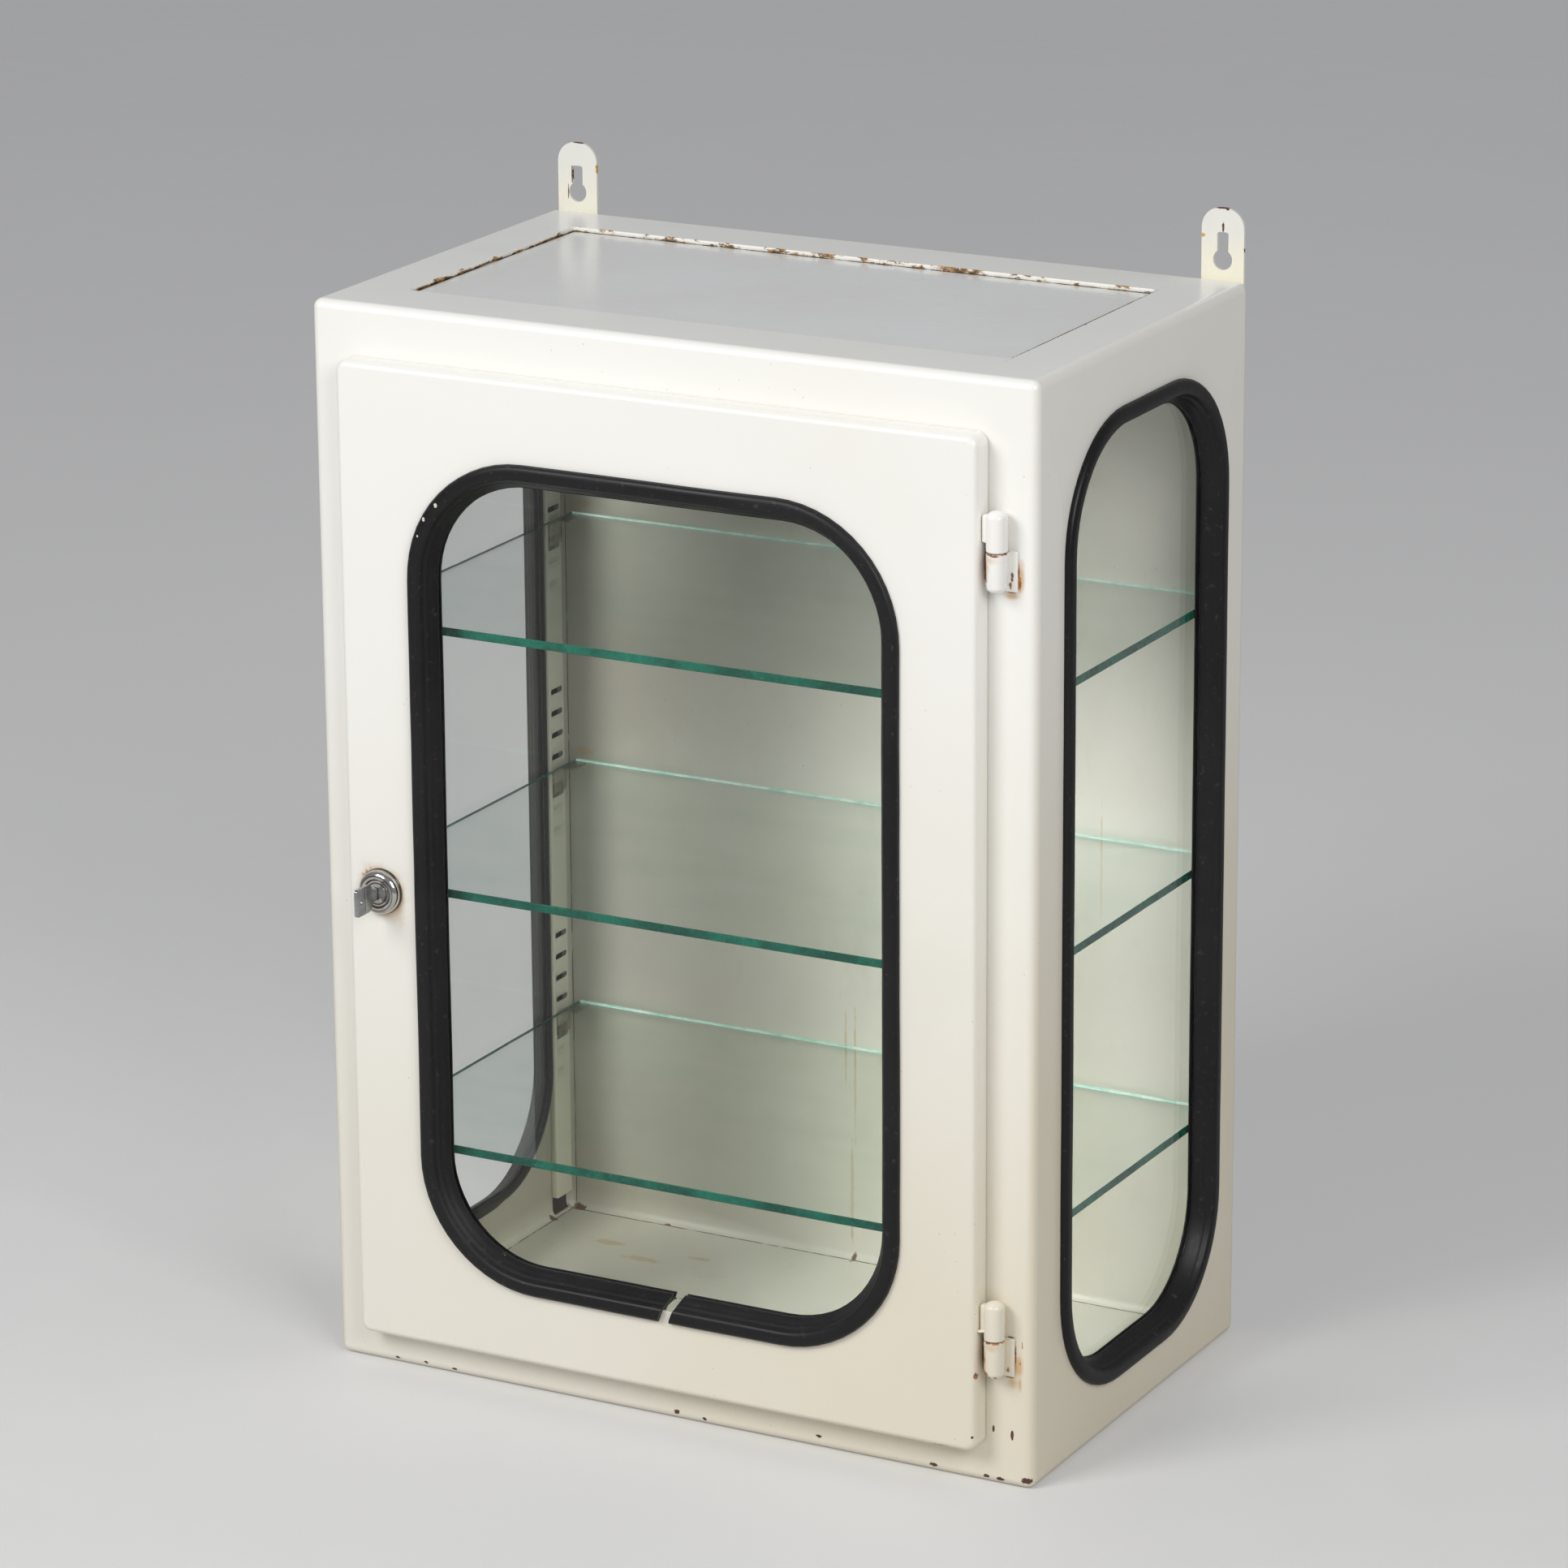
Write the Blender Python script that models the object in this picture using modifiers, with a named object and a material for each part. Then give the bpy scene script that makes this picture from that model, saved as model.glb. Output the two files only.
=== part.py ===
"""A wall-hung medicine cabinet: a sheet-steel case with glazed sides and a glazed,
lockable door on two lift-off hinges, and three glass shelves on clips.

Metres, +Z up. The front faces -Y, the hinges are on the +X side, and the origin is
the centre of the case's bottom face.
"""
import math

import bmesh
import bpy
from mathutils import Matrix

# Case
CASE_WIDTH = 0.500
CASE_DEPTH = 0.300
CASE_HEIGHT = 0.700
CASE_EDGE_RADIUS = 0.006
SHEET = 0.001

# Clearances, how far cutters reach past what they cut, and what counts as one point
SEAM = 0.0003
FIT = 0.0003
TURNING_FIT = 0.0001
BEYOND = 0.02
SAME_POINT = 0.000001

# Recess in the top
TOP_RIM_SIDE = 0.042
TOP_RIM_FRONT = 0.048
TOP_RIM_BACK = 0.046
TOP_RECESS_DEPTH = 0.003
TOP_RECESS_CORNER = 0.004
TOP_PANEL_LAP = 0.008

# Door: the reveals are the strips of frame that the door leaves bare
DOOR_REVEAL_LEFT = 0.026
DOOR_REVEAL_RIGHT = 0.032
DOOR_REVEAL_TOP = 0.033
DOOR_REVEAL_BOTTOM = 0.025
DOOR_DEPTH = 0.015
DOOR_STANDOFF = 0.001
DOOR_CORNER_RADIUS = 0.007
DOOR_EDGE_RADIUS = 0.004
DOOR_LAP = 0.012
DOOR_RETURN = 0.012
DOOR_MOUTH_CORNER = 0.003

# Windows: the margins run from the panel's edge to the gasket's outline
DOOR_WINDOW_LEFT = 0.050
DOOR_WINDOW_RIGHT = 0.051
DOOR_WINDOW_TOP = 0.0515
DOOR_WINDOW_BOTTOM = 0.0475
DOOR_WINDOW_RADIUS = 0.083
SIDE_WINDOW_FRONT = 0.037
SIDE_WINDOW_BACK = 0.033
SIDE_WINDOW_TOP = 0.039
SIDE_WINDOW_BOTTOM = 0.033
SIDE_WINDOW_RADIUS = 0.080
CORNER_STEPS = 8

# Rubber gasket: it grips the sheet, and slopes inwards to a pane that is set back.
# Its curves are in percent of its width and of the rise, drop or depth that they cross.
GASKET_WIDTH = 0.0165
GASKET_SHEET_GRIP = 0.0075
GASKET_PANE_GRIP = 0.0040
GASKET_CREST_OUT = 0.0045
GASKET_CREST_IN = 0.0040
GASKET_LIP_EDGE = 0.0010
GASKET_REAR_LIP = 0.0015
GASKET_ROLL_PERCENT = ((5, 50), (18, 94), (36, 100), (55, 84))
GASKET_SLOPE_PERCENT = ((66, 22), (100, 92))
GASKET_BACK_PERCENT = ((92, 100), (68, 100), (60, 47))
GASKET_INNER_PERCENT = ((50, 100), (15, 94), (0, 40))
GASKET_SPLIT = 0.0075
GASKET_SPLIT_PLACE = 0.0078
GASKET_SPLIT_SLANT = math.radians(20)
PANE_THICKNESS = 0.004
PANE_SETBACK = 0.009

# Hanging tabs with keyholes
TAB_WIDTH = 0.029
TAB_THICKNESS = 0.002
TAB_RISE = 0.045
TAB_LAP = 0.060
TAB_CORNER = 0.013
TAB_CENTRE_FROM_SIDE = 0.0185
KEYHOLE_RADIUS = 0.0065
KEYHOLE_ABOVE_CASE = 0.012
KEYHOLE_SLOT_WIDTH = 0.0076
KEYHOLE_SLOT_TOP = 0.0295
KEYHOLE_STEPS = 20
KEYHOLE_SLOT_STEPS = 8

# Lift-off hinges
HINGE_RADIUS = 0.0065
HINGE_HALF_LENGTH = 0.0252
HINGE_DOME = 0.0045
HINGE_JOINT_GAP = 0.0004
HINGE_AXIS_FROM_DOOR = 0.0095
HINGE_AXIS_PROUD = 0.008
HINGE_BELOW_DOOR_TOP = 0.070
HINGE_ABOVE_DOOR_BOTTOM = 0.0742
HINGE_LEAF_OUTWARD = 0.0105
HINGE_LEAF_INWARD = 0.0025
HINGE_LEAF_THICKNESS = 0.002
HINGE_TAB_HEIGHT = 0.0175
HINGE_TAB_ABOVE_JOINT = 0.005
HINGE_TAB_THICKNESS = 0.006
PIN_RADIUS = 0.0035
PIN_CROWN = 0.0012
PIN_IN_FRAME_HALF = 0.0195
PIN_IN_DOOR_HALF = 0.0175

# Cam lock and key
LOCK_FROM_DOOR_EDGE = 0.025
LOCK_ABOVE_DOOR_BOTTOM = 0.302
ROSETTE_RADIUS = 0.015
ROSETTE_FACE_RADIUS = 0.0108
ROSETTE_PROUD = 0.007
ROSETTE_RIM = 0.0016
LOCK_BARREL_RADIUS = 0.011
LOCK_BARREL_LENGTH = 0.012
PLUG_RADIUS = 0.00875
PLUG_RECESS = 0.0005
PLUG_BEHIND_BARREL = 0.0015
SHANK_SIDE = 0.007
LOCK_NUT_FLATS = 0.027
LOCK_NUT_THICKNESS = 0.0035
CAM_THICKNESS = 0.002
CAM_WIDTH = 0.016
CAM_TAIL_CORNER = 0.0055
CAM_TIP_WIDTH = 0.0112
CAM_TIP_CORNER = 0.004
CAM_REACH = 0.032
CAM_TAIL = 0.009
CAM_BEHIND_FRAME = 0.0007
CAM_SCREW_RADIUS = 0.002
CAM_SCREW_LENGTH = 0.007
CAM_SCREW_HEAD_RADIUS = 0.0045
CAM_SCREW_HEAD_HEIGHT = 0.002
KEY_THICKNESS = 0.002
KEY_BLADE_HEIGHT = 0.0076
KEY_TIP_HEIGHT = 0.0023
KEY_BLADE_DEPTH = 0.012
KEY_NECK_LENGTH = 0.006
KEY_BOW_LENGTH = 0.019
KEY_BOW_HEIGHT = 0.018
KEY_BOW_CORNER = 0.002
KEY_HOLE_RADIUS = 0.0018
KEY_HOLE_FROM_END = 0.0055

# Glass shelves
SHELF_SIDE_CLEARANCE = 0.0007
SHELF_END_CLEARANCE = 0.008
SHELF_THICKNESS = 0.0056
SHELF_CORNER = 0.003
LOWEST_SHELF_TOP = 0.155
SHELF_SPACING = 0.1715
SHELF_NAMES = ("bottom", "middle", "top")

# Slotted pilasters and the clips that hook into them
PILASTER_WIDTH = 0.020
PILASTER_DEPTH = 0.0047
PILASTER_SHEET = 0.001
PILASTER_END_GAP = 0.015
PILASTER_FROM_FRONT_BEND = 0.004
SLOT_PITCH = 0.0152
SLOT_LENGTH = 0.017
SLOT_HEIGHT = 0.004
SLOTS_BELOW_CLIP = 1
SLOTS_ABOVE_CLIP = 4
CLIP_SHEET = 0.0015
CLIP_TONGUE = 0.017
CLIP_LEAF = 0.020
CLIP_SLOT_BELOW_SHELF = 0.007
CLIP_HOOK_DROP = 0.005

# Places worked out from the dimensions above
HALF_WIDTH = CASE_WIDTH / 2
FRONT = -CASE_DEPTH / 2
BACK = CASE_DEPTH / 2
TOP = CASE_HEIGHT
DOOR_LEFT = -HALF_WIDTH + DOOR_REVEAL_LEFT
DOOR_RIGHT = HALF_WIDTH - DOOR_REVEAL_RIGHT
DOOR_BOTTOM = DOOR_REVEAL_BOTTOM
DOOR_TOP = TOP - DOOR_REVEAL_TOP
DOOR_REAR = FRONT - DOOR_STANDOFF
DOOR_FACE = DOOR_REAR - DOOR_DEPTH
HINGE_X = DOOR_RIGHT + HINGE_AXIS_FROM_DOOR
HINGE_Y = FRONT - HINGE_AXIS_PROUD
LOCK_X = DOOR_LEFT + LOCK_FROM_DOOR_EDGE
LOCK_Z = DOOR_BOTTOM + LOCK_ABOVE_DOOR_BOTTOM
PLUG_FACE = DOOR_FACE - ROSETTE_PROUD + PLUG_RECESS
PLUG_REAR = DOOR_FACE + LOCK_BARREL_LENGTH + PLUG_BEHIND_BARREL
CAM_FRONT = FRONT + SHEET + CAM_BEHIND_FRAME
CAM_REAR = CAM_FRONT + CAM_THICKNESS
PANE_INSET = GASKET_WIDTH - GASKET_PANE_GRIP
PANE_FRONT = SHEET / 2 - PANE_SETBACK
PANE_REAR = PANE_FRONT - PANE_THICKNESS
GASKET_REAR = PANE_REAR - FIT - GASKET_REAR_LIP
PILASTER_FACE = HALF_WIDTH - SHEET - FIT - PILASTER_DEPTH
SEAM_X = HALF_WIDTH - CASE_EDGE_RADIUS
SEAM_FRONT = FRONT + CASE_EDGE_RADIUS
SEAM_BACK = BACK - CASE_EDGE_RADIUS
SHELF_TOPS = [LOWEST_SHELF_TOP + SHELF_SPACING * i for i in range(len(SHELF_NAMES))]


def clear_scene():
    for old in list(bpy.data.objects):
        bpy.data.objects.remove(old, do_unlink=True)
    for old in list(bpy.data.collections):
        bpy.data.collections.remove(old)


def new_collection(name):
    collection = bpy.data.collections.new(name)
    bpy.context.scene.collection.children.link(collection)
    return collection


def make_material(name, colour, roughness, metallic=0.0, transmission=0.0):
    material = bpy.data.materials.new(name)
    material.use_nodes = True
    shader = material.node_tree.nodes["Principled BSDF"]
    shader.inputs["Base Color"].default_value = (*colour, 1.0)
    shader.inputs["Roughness"].default_value = roughness
    shader.inputs["Metallic"].default_value = metallic
    shader.inputs["Transmission Weight"].default_value = transmission
    material.diffuse_color = (*colour, 1.0)
    return material


# The pieces and the tools that cut them are kept in two collections

clear_scene()
PIECES = new_collection("medicine_cabinet")
TOOLS = new_collection("cutters")

ENAMEL = make_material("enamel", (0.86, 0.84, 0.78), 0.3)
RUBBER = make_material("rubber", (0.025, 0.024, 0.026), 0.5)
PANE_GLASS = make_material("pane_glass", (0.93, 0.97, 0.96), 0.02, transmission=1.0)
SHELF_GLASS = make_material("shelf_glass", (0.45, 0.78, 0.70), 0.03, transmission=1.0)
CHROME = make_material("chrome", (0.80, 0.80, 0.79), 0.12, metallic=1.0)
STEEL = make_material("steel", (0.55, 0.54, 0.52), 0.35, metallic=1.0)
TAB_PAINT = make_material("tab_paint", (0.87, 0.82, 0.66), 0.35)


def finish_piece(obj, material):
    PIECES.objects.link(obj)
    obj.data.materials.clear()
    obj.data.materials.append(material)
    return obj


def finish_tool(obj):
    TOOLS.objects.link(obj)
    obj.hide_render = True
    obj.display_type = "WIRE"
    return obj


def object_from_bmesh(name, bm):
    mesh = bpy.data.meshes.new(name)
    bm.to_mesh(mesh)
    bm.free()
    return bpy.data.objects.new(name, mesh)


def smooth_round_faces(obj, angle=math.radians(35)):
    obj.data.shade_smooth()
    obj.data.set_sharp_from_angle(angle=angle)


def boolean(obj, tool, operation):
    modifier = obj.modifiers.new(tool.name, "BOOLEAN")
    modifier.operation = operation
    modifier.solver = "EXACT"
    modifier.object = tool


def cut(obj, tool):
    boolean(obj, tool, "DIFFERENCE")


def keep_inside(obj, tool):
    boolean(obj, tool, "INTERSECT")


def join(obj, tool):
    boolean(obj, tool, "UNION")


def block_mesh(low, high):
    size = [b - a for a, b in zip(low, high)]
    middle = [(a + b) / 2 for a, b in zip(low, high)]
    bm = bmesh.new()
    place = Matrix.Translation(middle) @ Matrix.Diagonal((*size, 1.0))
    bmesh.ops.create_cube(bm, size=1.0, matrix=place)
    return bm


def block(name, low, high):
    return object_from_bmesh(name, block_mesh(low, high))


def bevel_edges(bm, edges, radius, segments):
    bmesh.ops.bevel(bm, geom=edges, offset=radius, segments=segments, profile=0.5,
                    affect="EDGES", clamp_overlap=True, material=-1)


def rounded_block(name, low, high, radius, segments=3):
    bm = block_mesh(low, high)
    bevel_edges(bm, bm.edges[:], radius, segments)
    return object_from_bmesh(name, bm)


def arc_corner(corner, before, after, radius, steps):
    """Points of a fillet of the given radius where two straight sides meet."""
    if radius <= 0:
        return [corner]
    to_before = (before[0] - corner[0], before[1] - corner[1])
    to_after = (after[0] - corner[0], after[1] - corner[1])
    angle_before = math.atan2(to_before[1], to_before[0])
    angle_after = math.atan2(to_after[1], to_after[0])
    turn = (angle_after - angle_before + math.pi) % (2 * math.pi) - math.pi
    half = abs(turn) / 2
    middle = angle_before + turn / 2
    reach = radius / math.sin(half)
    centre = (corner[0] + reach * math.cos(middle), corner[1] + reach * math.sin(middle))
    sweep = math.pi - abs(turn)
    side = -1 if turn > 0 else 1
    start = middle + math.pi - side * sweep / 2
    points = []
    for i in range(steps + 1):
        angle = start + side * sweep * i / steps
        points.append((centre[0] + radius * math.cos(angle), centre[1] + radius * math.sin(angle)))
    return points


def filleted(corners, steps=4):
    """A closed outline from (u, v, fillet radius) corners."""
    points = []
    for i, (u, v, radius) in enumerate(corners):
        before = corners[i - 1]
        after = corners[(i + 1) % len(corners)]
        points += arc_corner((u, v), before, after, radius, steps)
    return points


def rectangle(u0, u1, v0, v1, radius=0.0, steps=CORNER_STEPS):
    return filleted([(u0, v0, radius), (u1, v0, radius), (u1, v1, radius), (u0, v1, radius)], steps)


def circle(u, v, radius, steps=24):
    turns = [2 * math.pi * (i + 0.5) / steps for i in range(steps)]
    return [(u + radius * math.cos(t), v + radius * math.sin(t)) for t in turns]


# The plane of a plate: its outline's two directions and the one it is thick in
ACROSS_Z = Matrix.Identity(4)
ACROSS_Y = Matrix.Rotation(math.pi / 2, 4, "X")
ACROSS_X = Matrix.Rotation(math.pi / 2, 4, "Z") @ Matrix.Rotation(math.pi / 2, 4, "X")


def plate(name, outlines, low, high, plane=ACROSS_Z):
    """A flat piece: its first outline is the edge and the others are holes."""
    curve = bpy.data.curves.new(name, "CURVE")
    curve.dimensions = "2D"
    curve.fill_mode = "BOTH"
    curve.extrude = (high - low) / 2
    for outline in outlines:
        spline = curve.splines.new("POLY")
        spline.points.add(len(outline) - 1)
        spline.use_cyclic_u = True
        for point, (u, v) in zip(spline.points, outline):
            point.co = (u, v, 0.0, 1.0)
    guide = bpy.data.objects.new(name + "_outline", curve)
    bpy.context.scene.collection.objects.link(guide)
    bpy.context.view_layer.update()
    depsgraph = bpy.context.evaluated_depsgraph_get()
    mesh = bpy.data.meshes.new_from_object(guide.evaluated_get(depsgraph))
    bpy.data.objects.remove(guide)
    bm = bmesh.new()
    bm.from_mesh(mesh)
    bpy.data.meshes.remove(mesh)
    bmesh.ops.remove_doubles(bm, verts=bm.verts[:], dist=SAME_POINT)
    bm.transform(plane)
    thick_axis = plane.to_3x3() @ Matrix.Identity(3).col[2]
    middle = (low + high) / 2
    shift = [abs(part) * middle for part in thick_axis]
    bmesh.ops.translate(bm, verts=bm.verts[:], vec=shift)
    bmesh.ops.recalc_face_normals(bm, faces=bm.faces[:])
    return object_from_bmesh(name, bm)


def turned(name, profile, steps=24, closed=False):
    """A turned piece: (radius, height) points spun about its own Z axis."""
    bm = bmesh.new()
    verts = [bm.verts.new((radius, 0.0, height)) for radius, height in profile]
    pairs = list(zip(verts, verts[1:]))
    if closed:
        pairs.append((verts[-1], verts[0]))
    for a, b in pairs:
        bm.edges.new((a, b))
    obj = object_from_bmesh(name, bm)
    spin = obj.modifiers.new("spin", "SCREW")
    spin.axis = "Z"
    spin.steps = steps
    spin.render_steps = steps
    spin.use_merge_vertices = True
    spin.merge_threshold = SAME_POINT
    spin.use_smooth_shade = True
    return obj


def quarter_round(radius, rise, steps=5):
    """Radius and height of a dome's outline, from its crown to its foot."""
    angles = [math.pi / 2 * i / steps for i in range(steps + 1)]
    return [(radius * math.sin(a), rise * math.cos(a)) for a in angles]


def guide_empty(name, place, parent=None):
    empty = bpy.data.objects.new(name, None)
    PIECES.objects.link(empty)
    empty.location = place
    bpy.context.view_layer.update()
    if parent:
        carry(parent, empty)
    return empty


def carry(parent, obj):
    """Parent a piece and leave it where it is."""
    bpy.context.view_layer.update()
    world = obj.matrix_world.copy()
    obj.parent = parent
    obj.matrix_parent_inverse = parent.matrix_world.inverted()
    obj.matrix_world = world


# Case panels: the folded shell of the case, parted at its seams

def case_blank(name):
    """The folded shell as a whole: a rounded block less its inside."""
    return rounded_block(name, (-HALF_WIDTH, FRONT, 0.0), (HALF_WIDTH, BACK, TOP), CASE_EDGE_RADIUS)


def case_hollow():
    low = (-HALF_WIDTH + SHEET, FRONT + SHEET, SHEET)
    high = (HALF_WIDTH - SHEET, BACK - SHEET, TOP - SHEET)
    return finish_tool(rounded_block("case_hollow", low, high, CASE_EDGE_RADIUS - SHEET))


def case_panel(name, hollow, low, high):
    panel = case_blank(name)
    cut(panel, hollow)
    keep_inside(panel, finish_tool(block(name + "_extent", low, high)))
    return finish_piece(panel, ENAMEL)


def side_window_outline(offset):
    """The side window's outline, moved inwards by the offset, in Y and Z."""
    return rectangle(FRONT + SIDE_WINDOW_FRONT + offset, BACK - SIDE_WINDOW_BACK - offset,
                     SIDE_WINDOW_BOTTOM + offset, TOP - SIDE_WINDOW_TOP - offset,
                     SIDE_WINDOW_RADIUS - offset)


def door_window_outline(offset):
    """The door window's outline, moved inwards by the offset, in X and Z."""
    return rectangle(DOOR_LEFT + DOOR_WINDOW_LEFT + offset, DOOR_RIGHT - DOOR_WINDOW_RIGHT - offset,
                     DOOR_BOTTOM + DOOR_WINDOW_BOTTOM + offset, DOOR_TOP - DOOR_WINDOW_TOP - offset,
                     DOOR_WINDOW_RADIUS - offset)


def make_case():
    hollow = case_hollow()
    reach = HALF_WIDTH + BEYOND
    for side, sign in (("left", -1), ("right", 1)):
        near = sign * SEAM_X
        far = sign * reach
        low = (min(near, far), FRONT - BEYOND, -BEYOND)
        high = (max(near, far), BACK + BEYOND, TOP + BEYOND)
        panel = case_panel("side_panel_" + side, hollow, low, high)
        hole = plate("side_window_hole_" + side, [side_window_outline(GASKET_SHEET_GRIP)],
                     min(sign * SEAM_X, far), max(sign * SEAM_X, far), ACROSS_X)
        cut(panel, finish_tool(hole))
        smooth_round_faces(panel)

    inner_x = SEAM_X - SEAM
    make_front_frame(hollow, inner_x)
    back_panel = case_panel("back_panel", hollow, (-inner_x, SEAM_BACK, -BEYOND),
                            (inner_x, BACK + BEYOND, TOP + BEYOND))
    smooth_round_faces(back_panel)

    floor_front = SEAM_FRONT + SEAM
    floor_back = SEAM_BACK - SEAM
    floor = block("floor_panel", (-inner_x, floor_front, 0.0), (inner_x, floor_back, SHEET))
    finish_piece(floor, ENAMEL)
    make_top(inner_x, floor_front, floor_back)


def make_front_frame(hollow, inner_x):
    """Two rails with the case's bends, and two flat stiles between them."""
    opening_left = DOOR_LEFT + DOOR_LAP
    opening_right = DOOR_RIGHT - DOOR_LAP
    opening_bottom = DOOR_BOTTOM + DOOR_LAP
    opening_top = DOOR_TOP - DOOR_LAP
    low = opening_bottom + SEAM
    high = opening_top - SEAM
    strips = {"front_rail_top": (-inner_x, inner_x, opening_top, TOP + BEYOND),
              "front_rail_bottom": (-inner_x, inner_x, -BEYOND, opening_bottom),
              "front_stile_left": (-inner_x, opening_left, low, high),
              "front_stile_right": (opening_right, inner_x, low, high)}
    for name, (x0, x1, z0, z1) in strips.items():
        strip = case_panel(name, hollow, (x0, FRONT - BEYOND, z0), (x1, SEAM_FRONT, z1))
        smooth_round_faces(strip)


def make_top(inner_x, front, back):
    """The top: a surround with a turned-down collar, and the panel sunk inside it."""
    left = -HALF_WIDTH + TOP_RIM_SIDE
    near = FRONT + TOP_RIM_FRONT
    far = BACK - TOP_RIM_BACK
    panel_top = TOP - TOP_RECESS_DEPTH
    hole = rectangle(left, -left, near, far, TOP_RECESS_CORNER, 3)
    surround = plate("top_surround", [rectangle(-inner_x, inner_x, front, back), hole],
                     TOP - SHEET, TOP)
    collar_edge = rectangle(left - SHEET, -left + SHEET, near - SHEET, far + SHEET,
                            TOP_RECESS_CORNER + SHEET, 3)
    collar = plate("top_collar", [collar_edge, hole], panel_top + FIT, TOP - SHEET / 2)
    join(surround, finish_tool(collar))
    finish_piece(surround, ENAMEL)
    lap = TOP_PANEL_LAP
    panel = block("top_panel", (left - lap, near - lap, panel_top - SHEET),
                  (-left + lap, far + lap, panel_top))
    finish_piece(panel, ENAMEL)


# Glazing: one gasket section, swept round each window's outline. Heights that are
# negative lie behind the middle of the sheet.

def gasket_section():
    """(inward offset, height over the sheet's middle) points, once round the section."""
    sheet_side = SHEET / 2 + FIT
    edge = sheet_side + GASKET_LIP_EDGE
    crest_out = SHEET / 2 + GASKET_CREST_OUT
    crest_in = SHEET / 2 + GASKET_CREST_IN
    pane_side = PANE_FRONT + FIT
    width = GASKET_WIDTH

    def along(curve, start, end):
        return [(width * across / 100, start + (end - start) * part / 100) for across, part in curve]

    roll = along(GASKET_ROLL_PERCENT, edge, crest_out)
    slope = along(GASKET_SLOPE_PERCENT, roll[-1][1], pane_side)
    pane_web = PANE_INSET - FIT
    groove = [(width, pane_side), (pane_web, pane_side), (pane_web, PANE_REAR - FIT),
              (width, PANE_REAR - FIT)]
    back = along(GASKET_BACK_PERCENT, -crest_in, GASKET_REAR)
    inner = along(GASKET_INNER_PERCENT, -sheet_side, -crest_in)
    sheet_web = GASKET_SHEET_GRIP + FIT
    lip = [(0.0, -sheet_side), (sheet_web, -sheet_side), (sheet_web, sheet_side)]
    return [(0.0, sheet_side), (0.0, edge)] + roll + slope + groove + back + inner + lip


def swept_ring(name, outline_at, to_world):
    """A closed ring: each section point becomes an outline, lofted to the next."""
    bm = bmesh.new()
    rings = []
    for offset, height in gasket_section():
        rings.append([bm.verts.new(to_world(u, v, height)) for u, v in outline_at(offset)])
    for ring, after in zip(rings, rings[1:] + rings[:1]):
        corners = zip(ring, ring[1:] + ring[:1], after[1:] + after[:1], after)
        for face in corners:
            bm.faces.new(face)
    if bm.calc_volume(signed=True) < 0:
        bmesh.ops.reverse_faces(bm, faces=bm.faces[:])
    return object_from_bmesh(name, bm)


def make_side_windows():
    for side, sign in (("left", -1), ("right", 1)):
        middle = HALF_WIDTH - SHEET / 2
        gasket = swept_ring("side_gasket_" + side, side_window_outline,
                            lambda u, v, height: (sign * (middle + height), u, v))
        finish_piece(gasket, RUBBER)
        smooth_round_faces(gasket)
        ends = sorted((sign * (middle + PANE_REAR), sign * (middle + PANE_FRONT)))
        pane = plate("side_glass_" + side, [side_window_outline(PANE_INSET)], *ends, ACROSS_X)
        finish_piece(pane, PANE_GLASS)


def make_door_window(door_axis):
    middle = DOOR_FACE + SHEET / 2
    gasket = swept_ring("door_gasket", door_window_outline,
                        lambda u, v, height: (u, middle - height, v))
    split_x = (DOOR_LEFT + DOOR_WINDOW_LEFT + DOOR_RIGHT - DOOR_WINDOW_RIGHT) / 2 + GASKET_SPLIT_PLACE
    split_z = DOOR_BOTTOM + DOOR_WINDOW_BOTTOM + GASKET_WIDTH / 2
    reach = GASKET_WIDTH
    split = block("gasket_split", (-GASKET_SPLIT / 2, -reach, -reach),
                  (GASKET_SPLIT / 2, reach, reach))
    split.location = (split_x, middle, split_z)
    split.rotation_euler = (0.0, GASKET_SPLIT_SLANT, 0.0)
    cut(gasket, finish_tool(split))
    finish_piece(gasket, RUBBER)
    smooth_round_faces(gasket)
    pane = plate("door_glass", [door_window_outline(PANE_INSET)], middle - PANE_FRONT,
                 middle - PANE_REAR, ACROSS_Y)
    finish_piece(pane, PANE_GLASS)
    carry(door_axis, gasket)
    carry(door_axis, pane)


# Door

def door_block(name, inset, rear_inset):
    """The door's outer form, or its inside where it is inset by the sheet."""
    low = (DOOR_LEFT + inset, DOOR_FACE + inset, DOOR_BOTTOM + inset)
    high = (DOOR_RIGHT - inset, DOOR_REAR - rear_inset, DOOR_TOP - inset)
    bm = block_mesh(low, high)

    def along_y(edge):
        a, b = edge.verts
        return abs(a.co.y - b.co.y) > SAME_POINT and abs(a.co.x - b.co.x) < SAME_POINT

    def on_face(edge):
        return all(abs(vert.co.y - low[1]) < SAME_POINT for vert in edge.verts)

    bevel_edges(bm, [e for e in bm.edges if along_y(e)], DOOR_CORNER_RADIUS - inset, 3)
    bevel_edges(bm, [e for e in bm.edges if on_face(e)], DOOR_EDGE_RADIUS - inset, 3)
    return object_from_bmesh(name, bm)


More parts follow.
